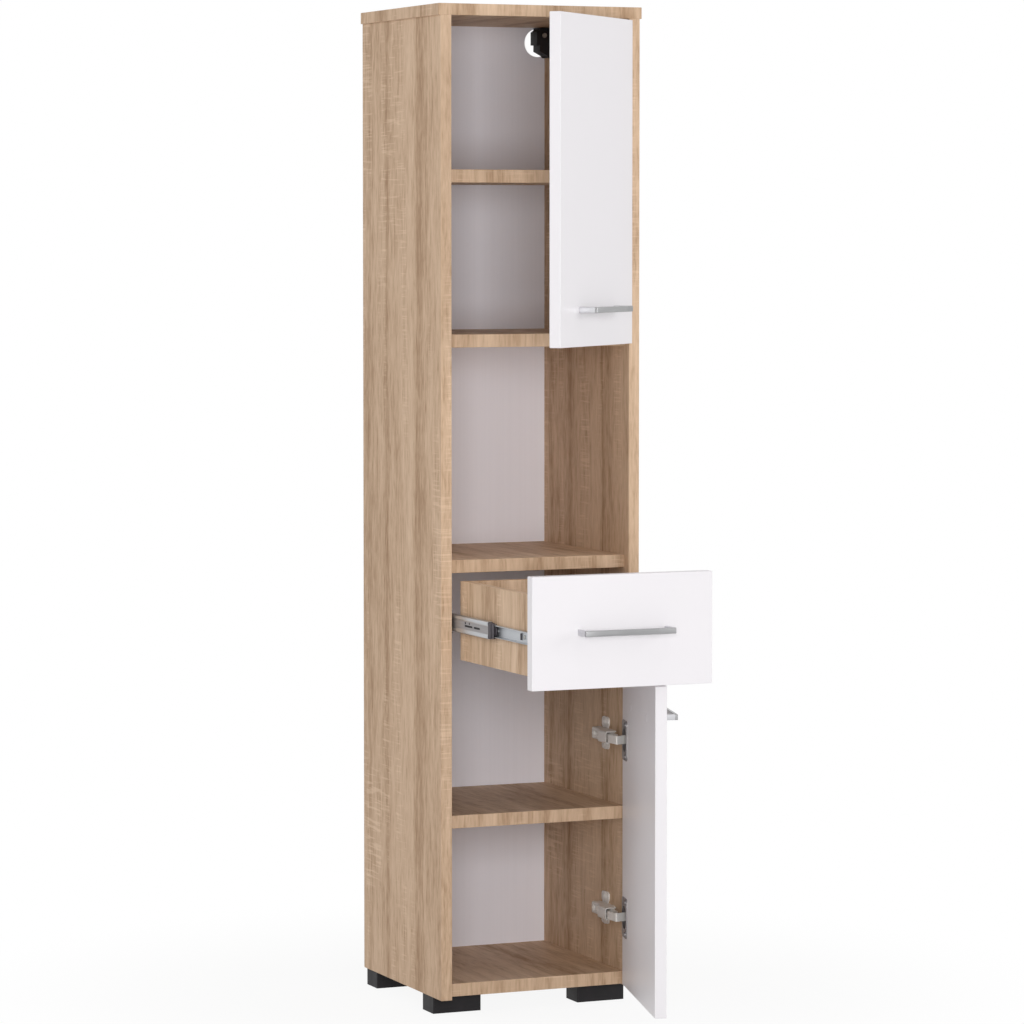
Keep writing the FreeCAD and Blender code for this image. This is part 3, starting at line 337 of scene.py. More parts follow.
def oak(name, growth=(), patch=False, seed=0.0, layers=PANEL_LAYERS):
    """Sawn oak print: drifting streaks, fine grain, pores and light saw marks across the grain.

    The tone is a sum of noises, each stretched along the grain: broad bands, streaks, fine lines and
    pores. A slow noise shifts all of them sideways, which bends the streaks. Growth lines darken the
    tone as 1 / (1 + d^2), where d is the distance from the line in half widths. Saw marks are noise
    stretched across the grain, kept in columns by a second noise.
    """
    f = Finish(name)
    grain, y, z = grain_space(f)
    grain = f.mapped((1, 1, 1), grain, shift=(seed, seed, seed))
    drift = f.sum("SUBTRACT", f.noise((3.2, 3.2, 1.5), vector=grain), 0.5)
    sway = f.sum("MULTIPLY", drift, SWAY)
    sideways = f.add("ShaderNodeCombineXYZ", {0: sway, 1: sway}).outputs[0]
    bent = f.add("ShaderNodeVectorMath", {0: grain, 1: sideways}, operation="ADD").outputs[0]
    pore = f.band(f.noise((560, 560, 34), 1.0, vector=bent), 0.58, 0.72)
    tone = f.sum("SUBTRACT", 0.5, f.sum("MULTIPLY", pore, PORE_DARK))
    for across, along, amount in layers:
        layer = f.noise((across, across, along), 3.0, 0.6, vector=bent)
        tone = f.sum("MULTIPLY_ADD", f.sum("SUBTRACT", layer, 0.5), amount, tone)
    swayed = f.sum("ADD", y, sway)
    for middle, half, dark in growth:
        away = f.sum("DIVIDE", f.sum("SUBTRACT", swayed, middle), half)
        line = f.sum("DIVIDE", dark, f.sum("MULTIPLY_ADD", away, away, 1.0))
        tone = f.sum("SUBTRACT", tone, line)
    column = f.band(f.noise((24, 24, 2.2), 1.0, vector=grain), 0.52, 0.66)
    rows = f.noise((16, 16, 330), 2.0, 0.6, vector=grain, turn=(SAW_TILT, 0, 0))
    marks = f.sum("MULTIPLY", f.band(rows, 0.52, 0.66), column)
    tone = f.sum("ADD", tone, f.sum("MULTIPLY", marks, SAW_LIGHT))
    if patch:
        strokes = f.band(f.noise((13, 13, 190), 2.0, 0.65, turn=(SAW_PATCH_TILT, 0, 0)), 0.50, 0.62)
        for value, middle, half in zip((y, z), SAW_PATCH, SAW_PATCH_HALF):
            away = f.sum("ABSOLUTE", f.sum("SUBTRACT", value, middle))
            strokes = f.sum("MULTIPLY", strokes, f.band(away, half * 0.6, half, 1.0, 0.0))
        tone = f.sum("ADD", tone, f.sum("MULTIPLY", strokes, SAW_PATCH_LIGHT))
    stops = ((0.20, colour("oak_dark")), (0.50, colour("oak_middle")), (0.80, colour("oak_light")))
    rough = f.band(tone, 0.2, 0.8, 0.62, 0.50)
    relief = f.sum("SUBTRACT", tone, f.sum("MULTIPLY", pore, 0.6))
    return f.surface(Base_Color=f.ramp(tone, stops), Roughness=rough, Specular_IOR_Level=0.30,
                     Normal=f.bump(relief, 0.00006, 0.6))


def white_melamine(name):
    """Smooth white melamine with a faint unevenness of gloss and surface."""
    f = Finish(name)
    cloud = f.noise((7, 7, 7), 3.0)
    pebble = f.noise((1400, 1400, 1400))
    wave = f.bump(f.noise((55, 55, 55), 1.0), 0.00003, 0.35)
    white = colour("white")
    return f.surface(Base_Color=f.blend(cloud, toned(white, 0.975), white), Specular_IOR_Level=0.35,
                     Roughness=f.band(cloud, 0.3, 0.7, 0.34, 0.42),
                     Normal=f.bump(pebble, 0.000012, 0.5, wave))


def painted_board(name):
    """Thin fibreboard: painted in front, raw brown fibre on its rear face."""
    f = Finish(name)
    normal = f.split(f.add("ShaderNodeNewGeometry").outputs["True Normal"])
    rear = f.band(normal[1], 0.4, 0.6)
    cloud = f.noise((5, 5, 3), 3.0)
    lines = f.noise((260, 260, 2.2))
    strands = f.noise((420, 420, 420), 4.0, 0.7)
    board, fibre = colour("board"), colour("fibre")
    front = f.blend(f.band(lines, 0.35, 0.65), toned(board, 0.985), board)
    deep = toned(fibre, 0.55)
    raw = f.ramp(strands, ((0.30, deep), (0.52, fibre), (0.74, toned(fibre, 1.5))))
    raw = f.blend(f.band(cloud, 0.35, 0.7, 0.0, 0.25), raw, deep)
    height = f.choose(rear, f.sum("MULTIPLY", lines, 0.25), strands)
    return f.surface(Base_Color=f.blend(rear, front, raw), Specular_IOR_Level=0.25,
                     Roughness=f.choose(rear, 0.5, 0.85), Normal=f.bump(height, 0.00008, 0.5))


def moulded(name, tone):
    """Moulded plastic with a fine grain and dusty, rubbed patches."""
    f = Finish(name)
    dots = f.noise((1500, 1500, 1500))
    cloud = f.noise((24, 24, 24), 3.0)
    return f.surface(Base_Color=f.blend(f.band(cloud, 0.45, 0.8), tone, toned(tone, 1.9)),
                     Specular_IOR_Level=0.28, Roughness=f.band(cloud, 0.3, 0.7, 0.48, 0.62),
                     Normal=f.bump(dots, 0.00005, 0.5))


def plated(name, tone, along, rough, tint=0.12, metal=1.0):
    """Plated or brushed metal: fine lines along one direction and a cloudy gloss.

    along gives the scales of the lines; the small ones lie along the lines.
    """
    f = Finish(name)
    lines = f.noise(along, 2.0, 0.6)
    cloud = f.noise((60, 60, 60), 3.0, 0.6)
    share = f.sum("MULTIPLY_ADD", lines, 0.6, f.sum("MULTIPLY", cloud, 0.4))
    return f.surface(Base_Color=f.blend(share, toned(tone, 1 - tint), tone), Metallic=metal,
                     Roughness=f.band(cloud, 0.3, 0.7, rough * 0.85, rough * 1.2),
                     Normal=f.bump(lines, 0.00002, 0.35))


WEB_EDGE = (0.0049, 0.0064)             # a middle member's web, with its painted shade, ends here, off its middle line


def race_steel(name):
    """Zinc of the middle members: round races above and below a web darkened and browned with painted
    shade and a painted reflection of the wood.

    The web's share falls from 1 to 0 as a soft step over the distance from the slide's middle line.
    """
    f = Finish(name)
    away = f.sum("ABSOLUTE", f.sum("SUBTRACT", f.split(f.place)[2], SLIDE_Z * MM))
    shade_streaks = f.noise((300, 14, 300), 3.0, 0.6)
    web = f.sum("MULTIPLY", f.band(away, *WEB_EDGE, 1.0, 0.0), f.band(shade_streaks, 0.25, 0.6, 0.72, 1.0))
    lines = f.noise((900, 5, 900), 2.0, 0.6)
    zinc = colour("zinc")
    bright = f.blend(lines, toned(zinc, 0.86), zinc)
    # The web's deeper, browner zinc is painted shade in the sunk web and a painted reflection of the
    # wood beside it.
    return f.surface(Base_Color=f.blend(web, bright, toned(zinc, (0.62, 0.57, 0.55))),
                     Metallic=0.80, Roughness=f.band(web, 0.0, 1.0, 0.30, 0.55),
                     Normal=f.bump(lines, 0.00002, 0.35))


def beech(name):
    """Ribbed beech of the dowels, with short flecks along them."""
    f = Finish(name)
    flecks = f.noise((60, 900, 900), 3.0, 0.6)
    wood = colour("beech")
    return f.surface(Base_Color=f.blend(flecks, toned(wood, 0.72), wood), Roughness=0.6,
                     Normal=f.bump(flecks, 0.00005, 0.5))


MAKERS = {
    "oak_panel": lambda name: oak(name, GROWTH_LINES, patch=True),
    "oak_board": lambda name: oak(name, seed=3.7, layers=BOARD_LAYERS),
    "oak_drawer": lambda name: oak(name, seed=7.3, layers=BOARD_LAYERS),
    "white_melamine": white_melamine,
    "painted_board": painted_board,
    "black_plastic": lambda name: moulded(name, colour("black")),
    "grey_plastic": lambda name: moulded(name, colour("grey")),
    "bar_metal": lambda name: plated(name, colour("bar"), (6, 6, 2600), 0.34),
    "post_metal": lambda name: plated(name, colour("post"), (300, 300, 300), 0.30, 0.05),
    "nickel": lambda name: plated(name, colour("nickel"), (500, 30, 500), 0.40, metal=0.30),
    # A darker copy of the nickel for the cups and their screws: painted shade on the flanges.
    "cup_metal": lambda name: plated(name, colour("cup"), (60, 60, 900), 0.36, 0.2, 0.75),
    "zinc": lambda name: plated(name, colour("zinc"), (900, 5, 900), 0.36, 0.16, 0.85),
    "race_steel": race_steel,
    "screw_metal": lambda name: plated(name, colour("screw"), (700, 700, 700), 0.34, 0.2),
    "beech": beech,
}


# ---------------------------------------------------------------- surfaces
def loft(rings, bent=False):
    """A closed skin through rings of equal count, an array (ring, point, 3), with flat ends.

    Vertex (i, j) is ring i's point j. Its four-sided faces join j to j + 1 round each ring and i to
    i + 1 from ring to ring. The faces are turned over if the skin's signed volume is negative. A bent
    sheet's ring runs along one face and back along the other, and its ends are strips between the two.
    """
    count, around = rings.shape[:2]
    i, j = np.meshgrid(np.arange(count - 1), np.arange(around), indexing="ij")
    after = (j + 1) % around
    quads = np.stack([i * around + j, i * around + after, (i + 1) * around + after,
                      (i + 1) * around + j], axis=-1).reshape(-1, 4)
    last = (count - 1) * around
    faces = quads.tolist()
    if bent:
        ends = [[k, k + 1, around - 2 - k, around - 1 - k] for k in range(around // 2 - 1)]
    else:
        ends = [list(range(around))]
    faces += [end[::-1] for end in ends] + [[last + k for k in end] for end in ends]
    points = rings.reshape(-1, 3)
    a, b, c, d = (points[quads[:, k]] for k in range(4))
    volume = np.einsum("ij,ij->", a, np.cross(b, c)) + np.einsum("ij,ij->", a, np.cross(c, d))
    for ring, sign in ((rings[0], -1), (rings[-1], 1)):
        volume += sign * np.einsum("j,ij->", ring[0], np.cross(ring[1:-1], ring[2:]))
    if volume < 0:
        faces = [face[::-1] for face in faces]
    return points, faces


def together(parts):
    """Several skins as one list of points and faces."""
    points, faces, start = [], [], 0
    for part_points, part_faces in parts:
        points.append(part_points)
        faces += [[start + k for k in face] for face in part_faces]
        start += len(part_points)
    return np.concatenate(points), faces


def unit(v):
    """v at length one, along its last axis."""
    return v / np.linalg.norm(v, axis=-1, keepdims=True)


def filleted(points, radii, closed=False, steps=5):
    """A line through points with its corners rounded to arcs.

    At a corner with radius r between directions a and b, the arc is a circle of radius r that
    touches both. Its centre lies on the bisector, r / sin(half the angle between a and b) away.
    """
    points = np.asarray(points, float)
    count = len(points)
    radii = np.broadcast_to(np.asarray(radii, float), count)
    line = []
    for k in range(count):
        corner, radius = points[k], radii[k]
        if radius <= 0 or (not closed and k in (0, count - 1)):
            line.append(corner[None])
            continue
        back, ahead = unit(points[k - 1] - corner), unit(points[(k + 1) % count] - corner)
        half = math.acos(float(np.clip(back @ ahead, -1, 1))) / 2
        centre = corner + unit(back + ahead) * radius / math.sin(half)
        start = corner + back * radius / math.tan(half) - centre
        end = corner + ahead * radius / math.tan(half) - centre
        first = math.atan2(start[1], start[0])
        turn = (math.atan2(end[1], end[0]) - first + math.pi) % (2 * math.pi) - math.pi
        angles = first + turn * np.linspace(0, 1, steps)
        line.append(centre + radius * np.stack([np.cos(angles), np.sin(angles)], axis=1))
    return np.concatenate(line)


def shifted(line, distance, closed=False):
    """A plane line moved sideways: each point goes along the mitred normal of its two edges."""
    if closed:
        before, after = np.roll(line, 1, axis=0), np.roll(line, -1, axis=0)
    else:
        before = np.concatenate([line[:1] * 2 - line[1:2], line[:-1]])
        after = np.concatenate([line[1:], line[-1:] * 2 - line[-2:-1]])
    one, two = unit(line - before), unit(after - line)
    normals = unit(np.stack([-one[:, 1] - two[:, 1], one[:, 0] + two[:, 0]], axis=1))
    cosine = np.clip(-one[:, 1] * normals[:, 0] + one[:, 0] * normals[:, 1], 0.3, 1)
    return line + normals * (distance / cosine)[:, None]


def soft_step(t, low, high):
    """0 below low, 1 above high, and 3 q^2 - 2 q^3 between, where q is the share of the way."""
    q = np.clip((t - low) / (high - low), 0, 1)
    return q * q * (3 - 2 * q)


def sheet_section(line, sheet):
    """Closed outline of a bent sheet whose middle line is given."""
    return np.concatenate([shifted(line, sheet / 2), shifted(line, -sheet / 2)[::-1]])


def ring_box(width, height, radius, steps=5):
    """A rectangle about the origin with round corners, anticlockwise."""
    w, h = width / 2, height / 2
    return filleted([(-w, -h), (w, -h), (w, h), (-w, h)], radius, closed=True, steps=steps)


def levelled(outline, levels):
    """Rings (level, point, 3): for each (inset, height), the outline drawn in and raised."""
    return np.stack([np.column_stack([shifted(outline, inset, closed=True),
                                      np.full(len(outline), height)]) for inset, height in levels])


def pillow(outline, height, radius):
    """Rings of a slab whose upper edge is a quarter circle.

    At angle t the outline is drawn in by radius * (1 - cos t) and lies at height - radius * (1 - sin t).
    """
    t = np.linspace(0, math.pi / 2, 4)
    insets, heights = radius * (1 - np.cos(t)), height - radius * (1 - np.sin(t))
    return levelled(outline, [(0.0, 0.0), *zip(insets, heights)])


def round_rings(wide, high, count):
    """Rings (ring, point, 3) about the third axis, from their radii and heights."""
    around = np.linspace(0, 2 * math.pi, count, endpoint=False)
    return np.stack([wide[:, None] * np.cos(around), wide[:, None] * np.sin(around),
                     np.broadcast_to(high[:, None], (len(high), count))], axis=-1)


def placed(points, origin, u, v, w):
    """Points given along three axes, moved to an origin."""
    return np.asarray(origin, float) + points @ np.array([u, v, w], float)


def on_panel(points, s, y, z, off=0.0, way=-1):
    """Points given along Y, along Z and off a side panel, or towards it where way is 1.

    s is -1 for the left panel and 1 for the right one. off is the origin's distance from its face.
    """
    return placed(points, (s * (INNER - off), y, z), (0, 1, 0), (0, 0, 1), (way * s, 0, 0))


def turned(points, angle, centre=(0.0, 0.0)):
    """Points turned about an upright axis by an angle in radians."""
    c, s = math.cos(angle), math.sin(angle)
    x, y = points[..., 0] - centre[0], points[..., 1] - centre[1]
    return np.stack([x * c - y * s + centre[0], x * s + y * c + centre[1], points[..., 2]], axis=-1)


def opened(points, name):
    """Points of a closed front's piece, moved to where that door or the drawer stands."""
    if name in DOORS:
        return turned(points, math.radians(opening(name)), HINGE_AXIS)
    return points - np.array((0, DRAWER_PULL, 0))


SHARP_OVER = math.radians(35)           # edges that bend more than this look sharp


def piece(name, skin, body, material, replaced=(), cut=None):
    """An object from a skin in millimetres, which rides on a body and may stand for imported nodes."""
    made = new_object(name, skin)
    if cut is not None:
        cutter = new_object(name + "_cutter", cut)
        hole = made.modifiers.new("cut", "BOOLEAN")
        hole.operation, hole.solver, hole.object = "DIFFERENCE", "EXACT", cutter
        depsgraph = bpy.context.evaluated_depsgraph_get()
        mesh = bpy.data.meshes.new_from_object(made.evaluated_get(depsgraph))
        made.modifiers.clear()
        made.data = mesh
        bpy.data.objects.remove(cutter)
    made.data.polygons.foreach_set("use_smooth", np.ones(len(made.data.polygons), bool))
    made.data.set_sharp_from_angle(angle=SHARP_OVER)
    made.data.materials.clear()
    made.data.materials.append(finish(material))
    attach(made, body)
    if replaced:
        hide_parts(*replaced)


def new_object(name, skin):
    """An object at the origin that holds a skin, in metres."""
    points, faces = skin
    mesh = bpy.data.meshes.new(name)
    mesh.from_pydata((points * MM).tolist(), [], faces)
    made = bpy.data.objects.new(name, mesh)
    bpy.context.scene.collection.objects.link(made)
    return made


# ---------------------------------------------------------------- operators
class FinishBoards(bpy.types.Operator):
    """Give the boards, doors and thin panels their finishes"""

    bl_idname = "cabinet.finish_boards"
    bl_label = "Finish boards"

    def execute(self, context):
        for name, nodes in (
            ("oak_panel", ("side_panel_left", "side_panel_right")),
            ("oak_board", ("top_panel", "bottom_panel", "upper_divider", "middle_divider",
                           "upper_shelf", "lower_shelf")),
            ("oak_drawer", ("drawer_side_left", "drawer_side_right", "drawer_back")),
            ("white_melamine", ("upper_door_panel", "lower_door_panel", "drawer_front")),
            ("painted_board", ("back_panel", "drawer_bottom")),
        ):
            dress(nodes, name)
        return {"FINISHED"}


class FinishSmallParts(bpy.types.Operator):
    """Give feet, hangers, hinge cups, cages, screws, pins and dowels their finishes"""

    bl_idname = "cabinet.finish_small_parts"
    bl_label = "Finish small parts"

    def execute(self, context):
        doors = [door + "_door_" for door in DOORS]
        feet = ["foot_" + row + side for row in ("front_", "rear_") for side, _ in SIDES]
        for name, nodes in (
            ("black_plastic", feet + ["cabinet_hangers"]),
            ("cup_metal", [door + part for door in doors for part in ("hinge_cups", "cup_screws")]),
            ("nickel", [door + part for door in doors for part in ("hinge_links", "link_pins")]
             + ["hinge_screws"]),
            ("zinc", ["ball_cage_outer_" + side for side, _ in SIDES]),
            ("grey_plastic", ["ball_cage_inner_" + side for side, _ in SIDES]),
            ("screw_metal", ["foot_screws", "hanger_hooks", "hanger_screws", "shelf_pins",
                             "cam_locks", "cam_bolts", "back_panel_nails", "slide_rail_screws",
                             "drawer_handle_screws", "drawer_box_fixings"]
             + [door + "handle_screws" for door in doors]),
            ("beech", ["dowels"]),
        ):
            dress(nodes, name)
        return {"FINISHED"}


def dress(nodes, name):
    """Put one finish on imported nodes."""
    for node in nodes:
        slots = frame["nodes"][node].data.materials
        slots.clear()
        slots.append(finish(name))


FRONTS = (("upper", "upper_door"), ("lower", "lower_door"), ("drawer", "drawer"))
HANDLE_POST = 5.0             # width of a post, seen from the front
HANDLE_BAR = 4.0              # thickness of the bar
POST_X = (HANDLE_LONG - HANDLE_POST) / 2
BOX_SCREW_IN = 25.0           # the drawer box's screws, from its upper and lower edge
CAP_POINTS = 40               # round a cap


def handle_skins(z):
    """Skins of a closed front's handle: its two posts and then the flat bar before them.

    Each is a round-cornered rectangle carried out of the front along Y. The posts stop at the bar's
    back. The bar's front edges are drawn in along a quarter circle.
    """
    radius = fitting("handle_round")
    post = pillow(ring_box(HANDLE_POST, HANDLE_TALL, radius), HANDLE_REACH - HANDLE_BAR,
                  fitting("handle_line"))
    bar = pillow(ring_box(HANDLE_LONG, HANDLE_TALL, radius), HANDLE_BAR, radius)
    back = FACE_Y - HANDLE_REACH + HANDLE_BAR
    return [loft(placed(rings, (x, y, z), (1, 0, 0), (0, 0, 1), (0, -1, 0)))
            for rings, x, y in ((post, -POST_X, FACE_Y), (post, POST_X, FACE_Y), (bar, 0, back))]


class BuildHandles(bpy.types.Operator):
    """Build the three bar handles, each a satin bar on two plated posts"""

    bl_idname = "cabinet.build_handles"
    bl_label = "Build handles"

    def execute(self, context):
        for name, body in FRONTS:
            node = body + "_handle"
            *posts, bar = [(opened(points, name), faces)
                           for points, faces in handle_skins(middle_z(node))]
            piece(name + "_handle_posts", together(posts), body, "post_metal",
                  (node,))
            piece(name + "_handle_bar", bar, body, "bar_metal", (node,))
        return {"FINISHED"}


def cap_skin(origin, u, v, w):
    """A thin domed cap at a place, on the plane of u and v and out along w.

    At t the circle's radius is the cap's times cos(t)^0.6, and it lies at the cap's height * sin t.
    """
    t = np.concatenate([[0.0], np.linspace(0.25, 1.5, 7)])
    wide, high = fitting("cap_radius") * np.cos(t) ** 0.6, fitting("cap_height") * np.sin(t)
    return loft(placed(round_rings(wide, high, CAP_POINTS), origin, u, v, w))


class BuildCaps(bpy.types.Operator):
    """Build the thin caps over the sunk screws of the handles and of the drawer's sides"""

    bl_idname = "cabinet.build_caps"
    bl_label = "Build cover caps"

    def execute(self, context):
        for name, body in FRONTS:
            z = middle_z(body + "_handle")
            points, faces = together([cap_skin((x, INSIDE_Y, z), (1, 0, 0), (0, 0, 1), (0, 1, 0))
                                      for x in (-POST_X, POST_X)])
            piece(body + "_caps", (opened(points, name), faces), body,
                  "white_melamine")
        low, high = corners("drawer_back")
        out = corners("drawer_side_right")[1][0]
        caps = [cap_skin((s * out, (low[1] + high[1]) / 2, z), (0, 1, 0), (0, 0, 1), (s, 0, 0))
                for _, s in SIDES for z in (low[2] + BOX_SCREW_IN, high[2] - BOX_SCREW_IN)]
        piece("drawer_side_caps", together(caps), "drawer", "oak_drawer")
        return {"FINISHED"}


# Sections of the slides: half of a middle line, from the middle of the web to the lip's end. The
# first number is the distance from the side panel, the second the height above the slide's middle.
# The radii are those of its corners.
RAIL_HALF_LINE = ((0.4, 0.0), (0.4, 9.5), (0.75, 10.6), (0.75, 15.45), (8.65, 15.45), (8.65, 14.2))
RAIL_RADII = (0, 2.0, 2.0, 1.6, 0.7, 0)
MEMBER_HALF_LINE = ((12.25, 0.0), (12.25, 5.2), (11.8, 6.2), (11.8, 8.25), (9.0, 8.25), (8.2, 7.95),
                    (7.0, 7.95), (6.3, 8.25), (6.3, 7.5))
MEMBER_RADII = (0, 1.0, 1.0, 1.0, 0.6, 0.6, 0.6, 0.4, 0)
END_HALF_LINE = ((4.1, 0.0), (4.1, 10.9), (9.2, 10.9), (9.2, 10.2))
END_RADII = (0, 0.9, 0.4, 0)
END_WALL = 1.0                # of the moulded ends, whose section this is

# A middle member: its web and the crests of its races, off the side panel, and half its height.
MIDDLE_WEB, MIDDLE_CREST, MIDDLE_HALF_TALL = 4.2, 3.4, 12.0
MIDDLE_RADII = (0, 1.2, 1.6, 1.7, 0.5, 0.5, 0.5, 0.5, 0.4, 0)

# Slots: middle behind the slide's front end, length, height, and how far above the slide's middle.
RAIL_SLOTS = ((60.0, 12.0, 4.5, 0.0), (160.0, 20.0, 4.5, 0.0))
WEB_SLOTS = ((69.0, 22.0, 2.8, -0.6), (98.0, 28.0, 2.8, -0.6), (192.0, 24.0, 2.8, -0.6),
             (95.0, 4.6, 3.0, 3.4), (109.0, 4.6, 3.0, 3.4))
RAIL_CUT, WEB_CUT = (-1.0, 3.0), (2.0, 6.0)       # what the cutters span, off the side panel
END_FLAT = 0.01               # a slot's round ends are this much short of a half circle

# Slabs on a web: length, height, corner radius, thickness, edge radius, and the middle's place
# behind the front end and off the side panel.
# The first slab is a black strip behind the web's slots: painted shade, so that the slots read as dark
# holes.
SLOT_SHADE_STRIP = (74.0, 10.0, 1.0, 0.12, 0.05, 81.0, 4.72)
DRAWER_STOP = (1.8, 9.0, 0.8, 2.2, 0.5, 38.0, 12.0)

# A moulded end, from front to rear: places along its channel and its nose, as shares of their
# length, the channel's height as a share of its section's, and half the nose's height.
END_SHORT = 9.0               # a middle member's steel reaches this far over its moulded end
CHANNEL_START = 20.0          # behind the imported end's front
CHANNEL_SHARES, CHANNEL_TALL = (0.0, 0.08, 0.55, 0.62, 1.0), (0.90, 0.94, 0.94, 1.0, 1.0)
NOSE_START, NOSE_LONG = 12.0, 16.0
NOSE_SHARES = (0.0, 0.05, 0.22, 0.42, 0.62, 0.84, 1.0)
NOSE_HALF_TALL = (4.6, 5.4, 5.9, 6.3, 7.4, 9.0, 9.6)
NOSE_OFF, NOSE_SLOPE, NOSE_HALF_THICK = 3.9, 4.5, 0.7


def middle_line():
    """A middle member's line: a sunk web between two round races that stand out of it."""
    half_sheet = fitting("rolled_sheet") / 2
    crest, top = MIDDLE_CREST + half_sheet - fitting("rim_out"), MIDDLE_HALF_TALL - half_sheet
    half = ((MIDDLE_WEB, 0.0), (MIDDLE_WEB, 5.6), (crest, 7.2), (crest, top), (5.4, top),
            (5.9, top - 0.3), (6.7, top - 0.3), (7.2, top), (9.3, top), (9.3, top - 1.0))
    return mirrored(half, MIDDLE_RADII)


def mirrored(half, radii):
    """A whole middle line from its upper half, with the corners rounded."""
    half = np.array(half, float)
    lower = half[:0:-1] * (1, -1)
    return filleted(np.concatenate([lower, half[1:]]), tuple(radii[:0:-1]) + tuple(radii[1:]))


def slide_rings(s, y, off, up):
    """Rings of a section at each y, from its points' distances off the side panel and heights."""
    x, y, z = np.broadcast_arrays(s * (INNER - off), np.reshape(y, (-1, 1)), SLIDE_Z + up)
    return np.stack([x, y, z], axis=-1)


def slide_skin(s, line, front, rear):
    """A rolled section carried along Y. s is -1 for the left slide and 1 for the right one."""
    section = sheet_section(line, fitting("rolled_sheet"))
    return loft(slide_rings(s, (front, rear), section[:, 0], section[:, 1]), bent=True)


def slot_cutters(s, front, slots, span):
    """Round-ended slots through a slide's web: rounded rectangles carried off the side panel."""
    skins = []
    for middle, long, tall, up in slots:
        outline = ring_box(long, tall, min(long, tall) / 2 - END_FLAT, steps=7)
        rings = levelled(outline, [(0.0, off) for off in span])
        skins.append(loft(on_panel(rings, s, front + middle, SLIDE_Z + up)))
    return together(skins)


def slab_skin(s, front, slab):
    """A slab that lies on a slide's web and rises towards the side panel."""
    long, tall, corner, thick, edge, back, off = slab
    rings = pillow(ring_box(long, tall, corner), thick, edge)
    return loft(on_panel(rings, s, front + back, SLIDE_Z, off, way=1))


def end_skin(s, front, rear):
    """A moulded end: a channel whose height steps down along it, and a nose in front.

    The nose is a slab whose face slopes away from the side panel towards the front, as a soft step,
    while its height tapers.
    """
    section = sheet_section(mirrored(END_HALF_LINE, END_RADII), END_WALL)
    start = front + CHANNEL_START
    y = start + (rear - start) * np.array(CHANNEL_SHARES)
    up = section[:, 1] * np.array(CHANNEL_TALL)[:, None]
    channel = loft(slide_rings(s, y, section[:, 0], up), bent=True)
    start = front + NOSE_START
    y = start + NOSE_LONG * np.array(NOSE_SHARES)
    face = NOSE_OFF + NOSE_SLOPE * soft_step(start + NOSE_LONG - y, 0.0, NOSE_LONG)
    outline = ring_box(2.0, 2.0, 0.5, steps=6)      # half as wide and as tall as one
    off = face[:, None] + NOSE_HALF_THICK - NOSE_HALF_THICK * outline[:, 0]
    up = outline[:, 1] * np.array(NOSE_HALF_TALL)[:, None]
    return together([channel, loft(slide_rings(s, y, off, up))])


class BuildSlides(bpy.types.Operator):
    """Build the rolled rails, middle members and drawer members of both slides"""

    bl_idname = "cabinet.build_slides"
    bl_label = "Build slides"

    def execute(self, context):
        rail = mirrored(RAIL_HALF_LINE, RAIL_RADII)
        middle = middle_line()
        member = mirrored(MEMBER_HALF_LINE, MEMBER_RADII)
        for side, s in SIDES:
            front, rear = ends_y("slide_rail_" + side)
            piece("rolled_rail_" + side, slide_skin(s, rail, front, rear), "carcass",
                  "zinc", ("slide_rail_" + side,),
                  cut=slot_cutters(s, front, RAIL_SLOTS, RAIL_CUT))
            front, rear = ends_y("slide_middle_" + side)
            end_front, end_rear = ends_y("slide_retainer_" + side)
            piece("rolled_middle_" + side, slide_skin(s, middle, front - END_SHORT, rear),
                  "middle_" + side, "race_steel", ("slide_middle_" + side,),
                  cut=slot_cutters(s, end_front, WEB_SLOTS, WEB_CUT))
            piece("moulded_end_" + side, end_skin(s, end_front, end_rear - END_SHORT),
                  "middle_" + side, "grey_plastic", ("slide_retainer_" + side,))
            # A black strip behind the web's slots: painted shade seen through them.
            piece("slot_strip_" + side, slab_skin(s, end_front, SLOT_SHADE_STRIP),
                  "middle_" + side, "black_plastic")
            front, rear = ends_y("slide_member_" + side)
            piece("rolled_member_" + side, slide_skin(s, member, front, rear),
                  "drawer", "zinc", ("slide_member_" + side,))
            piece("drawer_stop_" + side, slab_skin(s, front, DRAWER_STOP),
                  "drawer", "grey_plastic")
        return {"FINISHED"}


# Hinge arms. Heights are off the side panel, and lengths run from the arm's front.
ARM_HALF_WIDTH = 8.5
ARM_HIGH, ARM_LOW = 26.5, 18.0          # the web, front and rear
ARM_STEP = (26.0, 38.0)                 # where it steps down
ARM_FOOT_FRONT, ARM_FOOT_REAR = 10.0, 6.0
ARM_NOSE = 20.0                         # the feet rise over this length
RIB_HIGH, RIB_NARROW = 0.5, 1.9
RIB_START, RIB_END = (3.0, 8.0), (18.0, 24.0)

# Mounting plates: a winged sheet, and a spine on it under the arm.
PLATE_SHEET, PLATE_TALL = 2.0, 6.0
PLATE_PAST = 3.0                        # the spine runs this far past its arm
SPINE_HALF_WIDTH, SPINE_CORNER = 6.8, 2.0
WING_CENTRE = 74.0                      # behind the side panels' front edges
WING_HALF = (12.0, 23.0)                # half its length along Y and half its height
WING_WAIST = 3.0                        # how far the waist is drawn in
WING_FULL, WING_NECK = 11.0, 15.0       # from the end: where the wing narrows, and where the waist is
WING_RADII = (5, 5, 2.5, 2.5, 2.5, 2.5)
BOSS_UP, BOSS_POINTS = 16.0, 36         # off a plate's middle, up and down, and points round a boss
BOSS_TOP, BOSS_SPREAD = 4.0, 3.6        # radius of its top, and how much wider its foot is
BOSS_SINK, BOSS_TALL = 0.2, 1.4         # its foot lies in the sheet, and its height

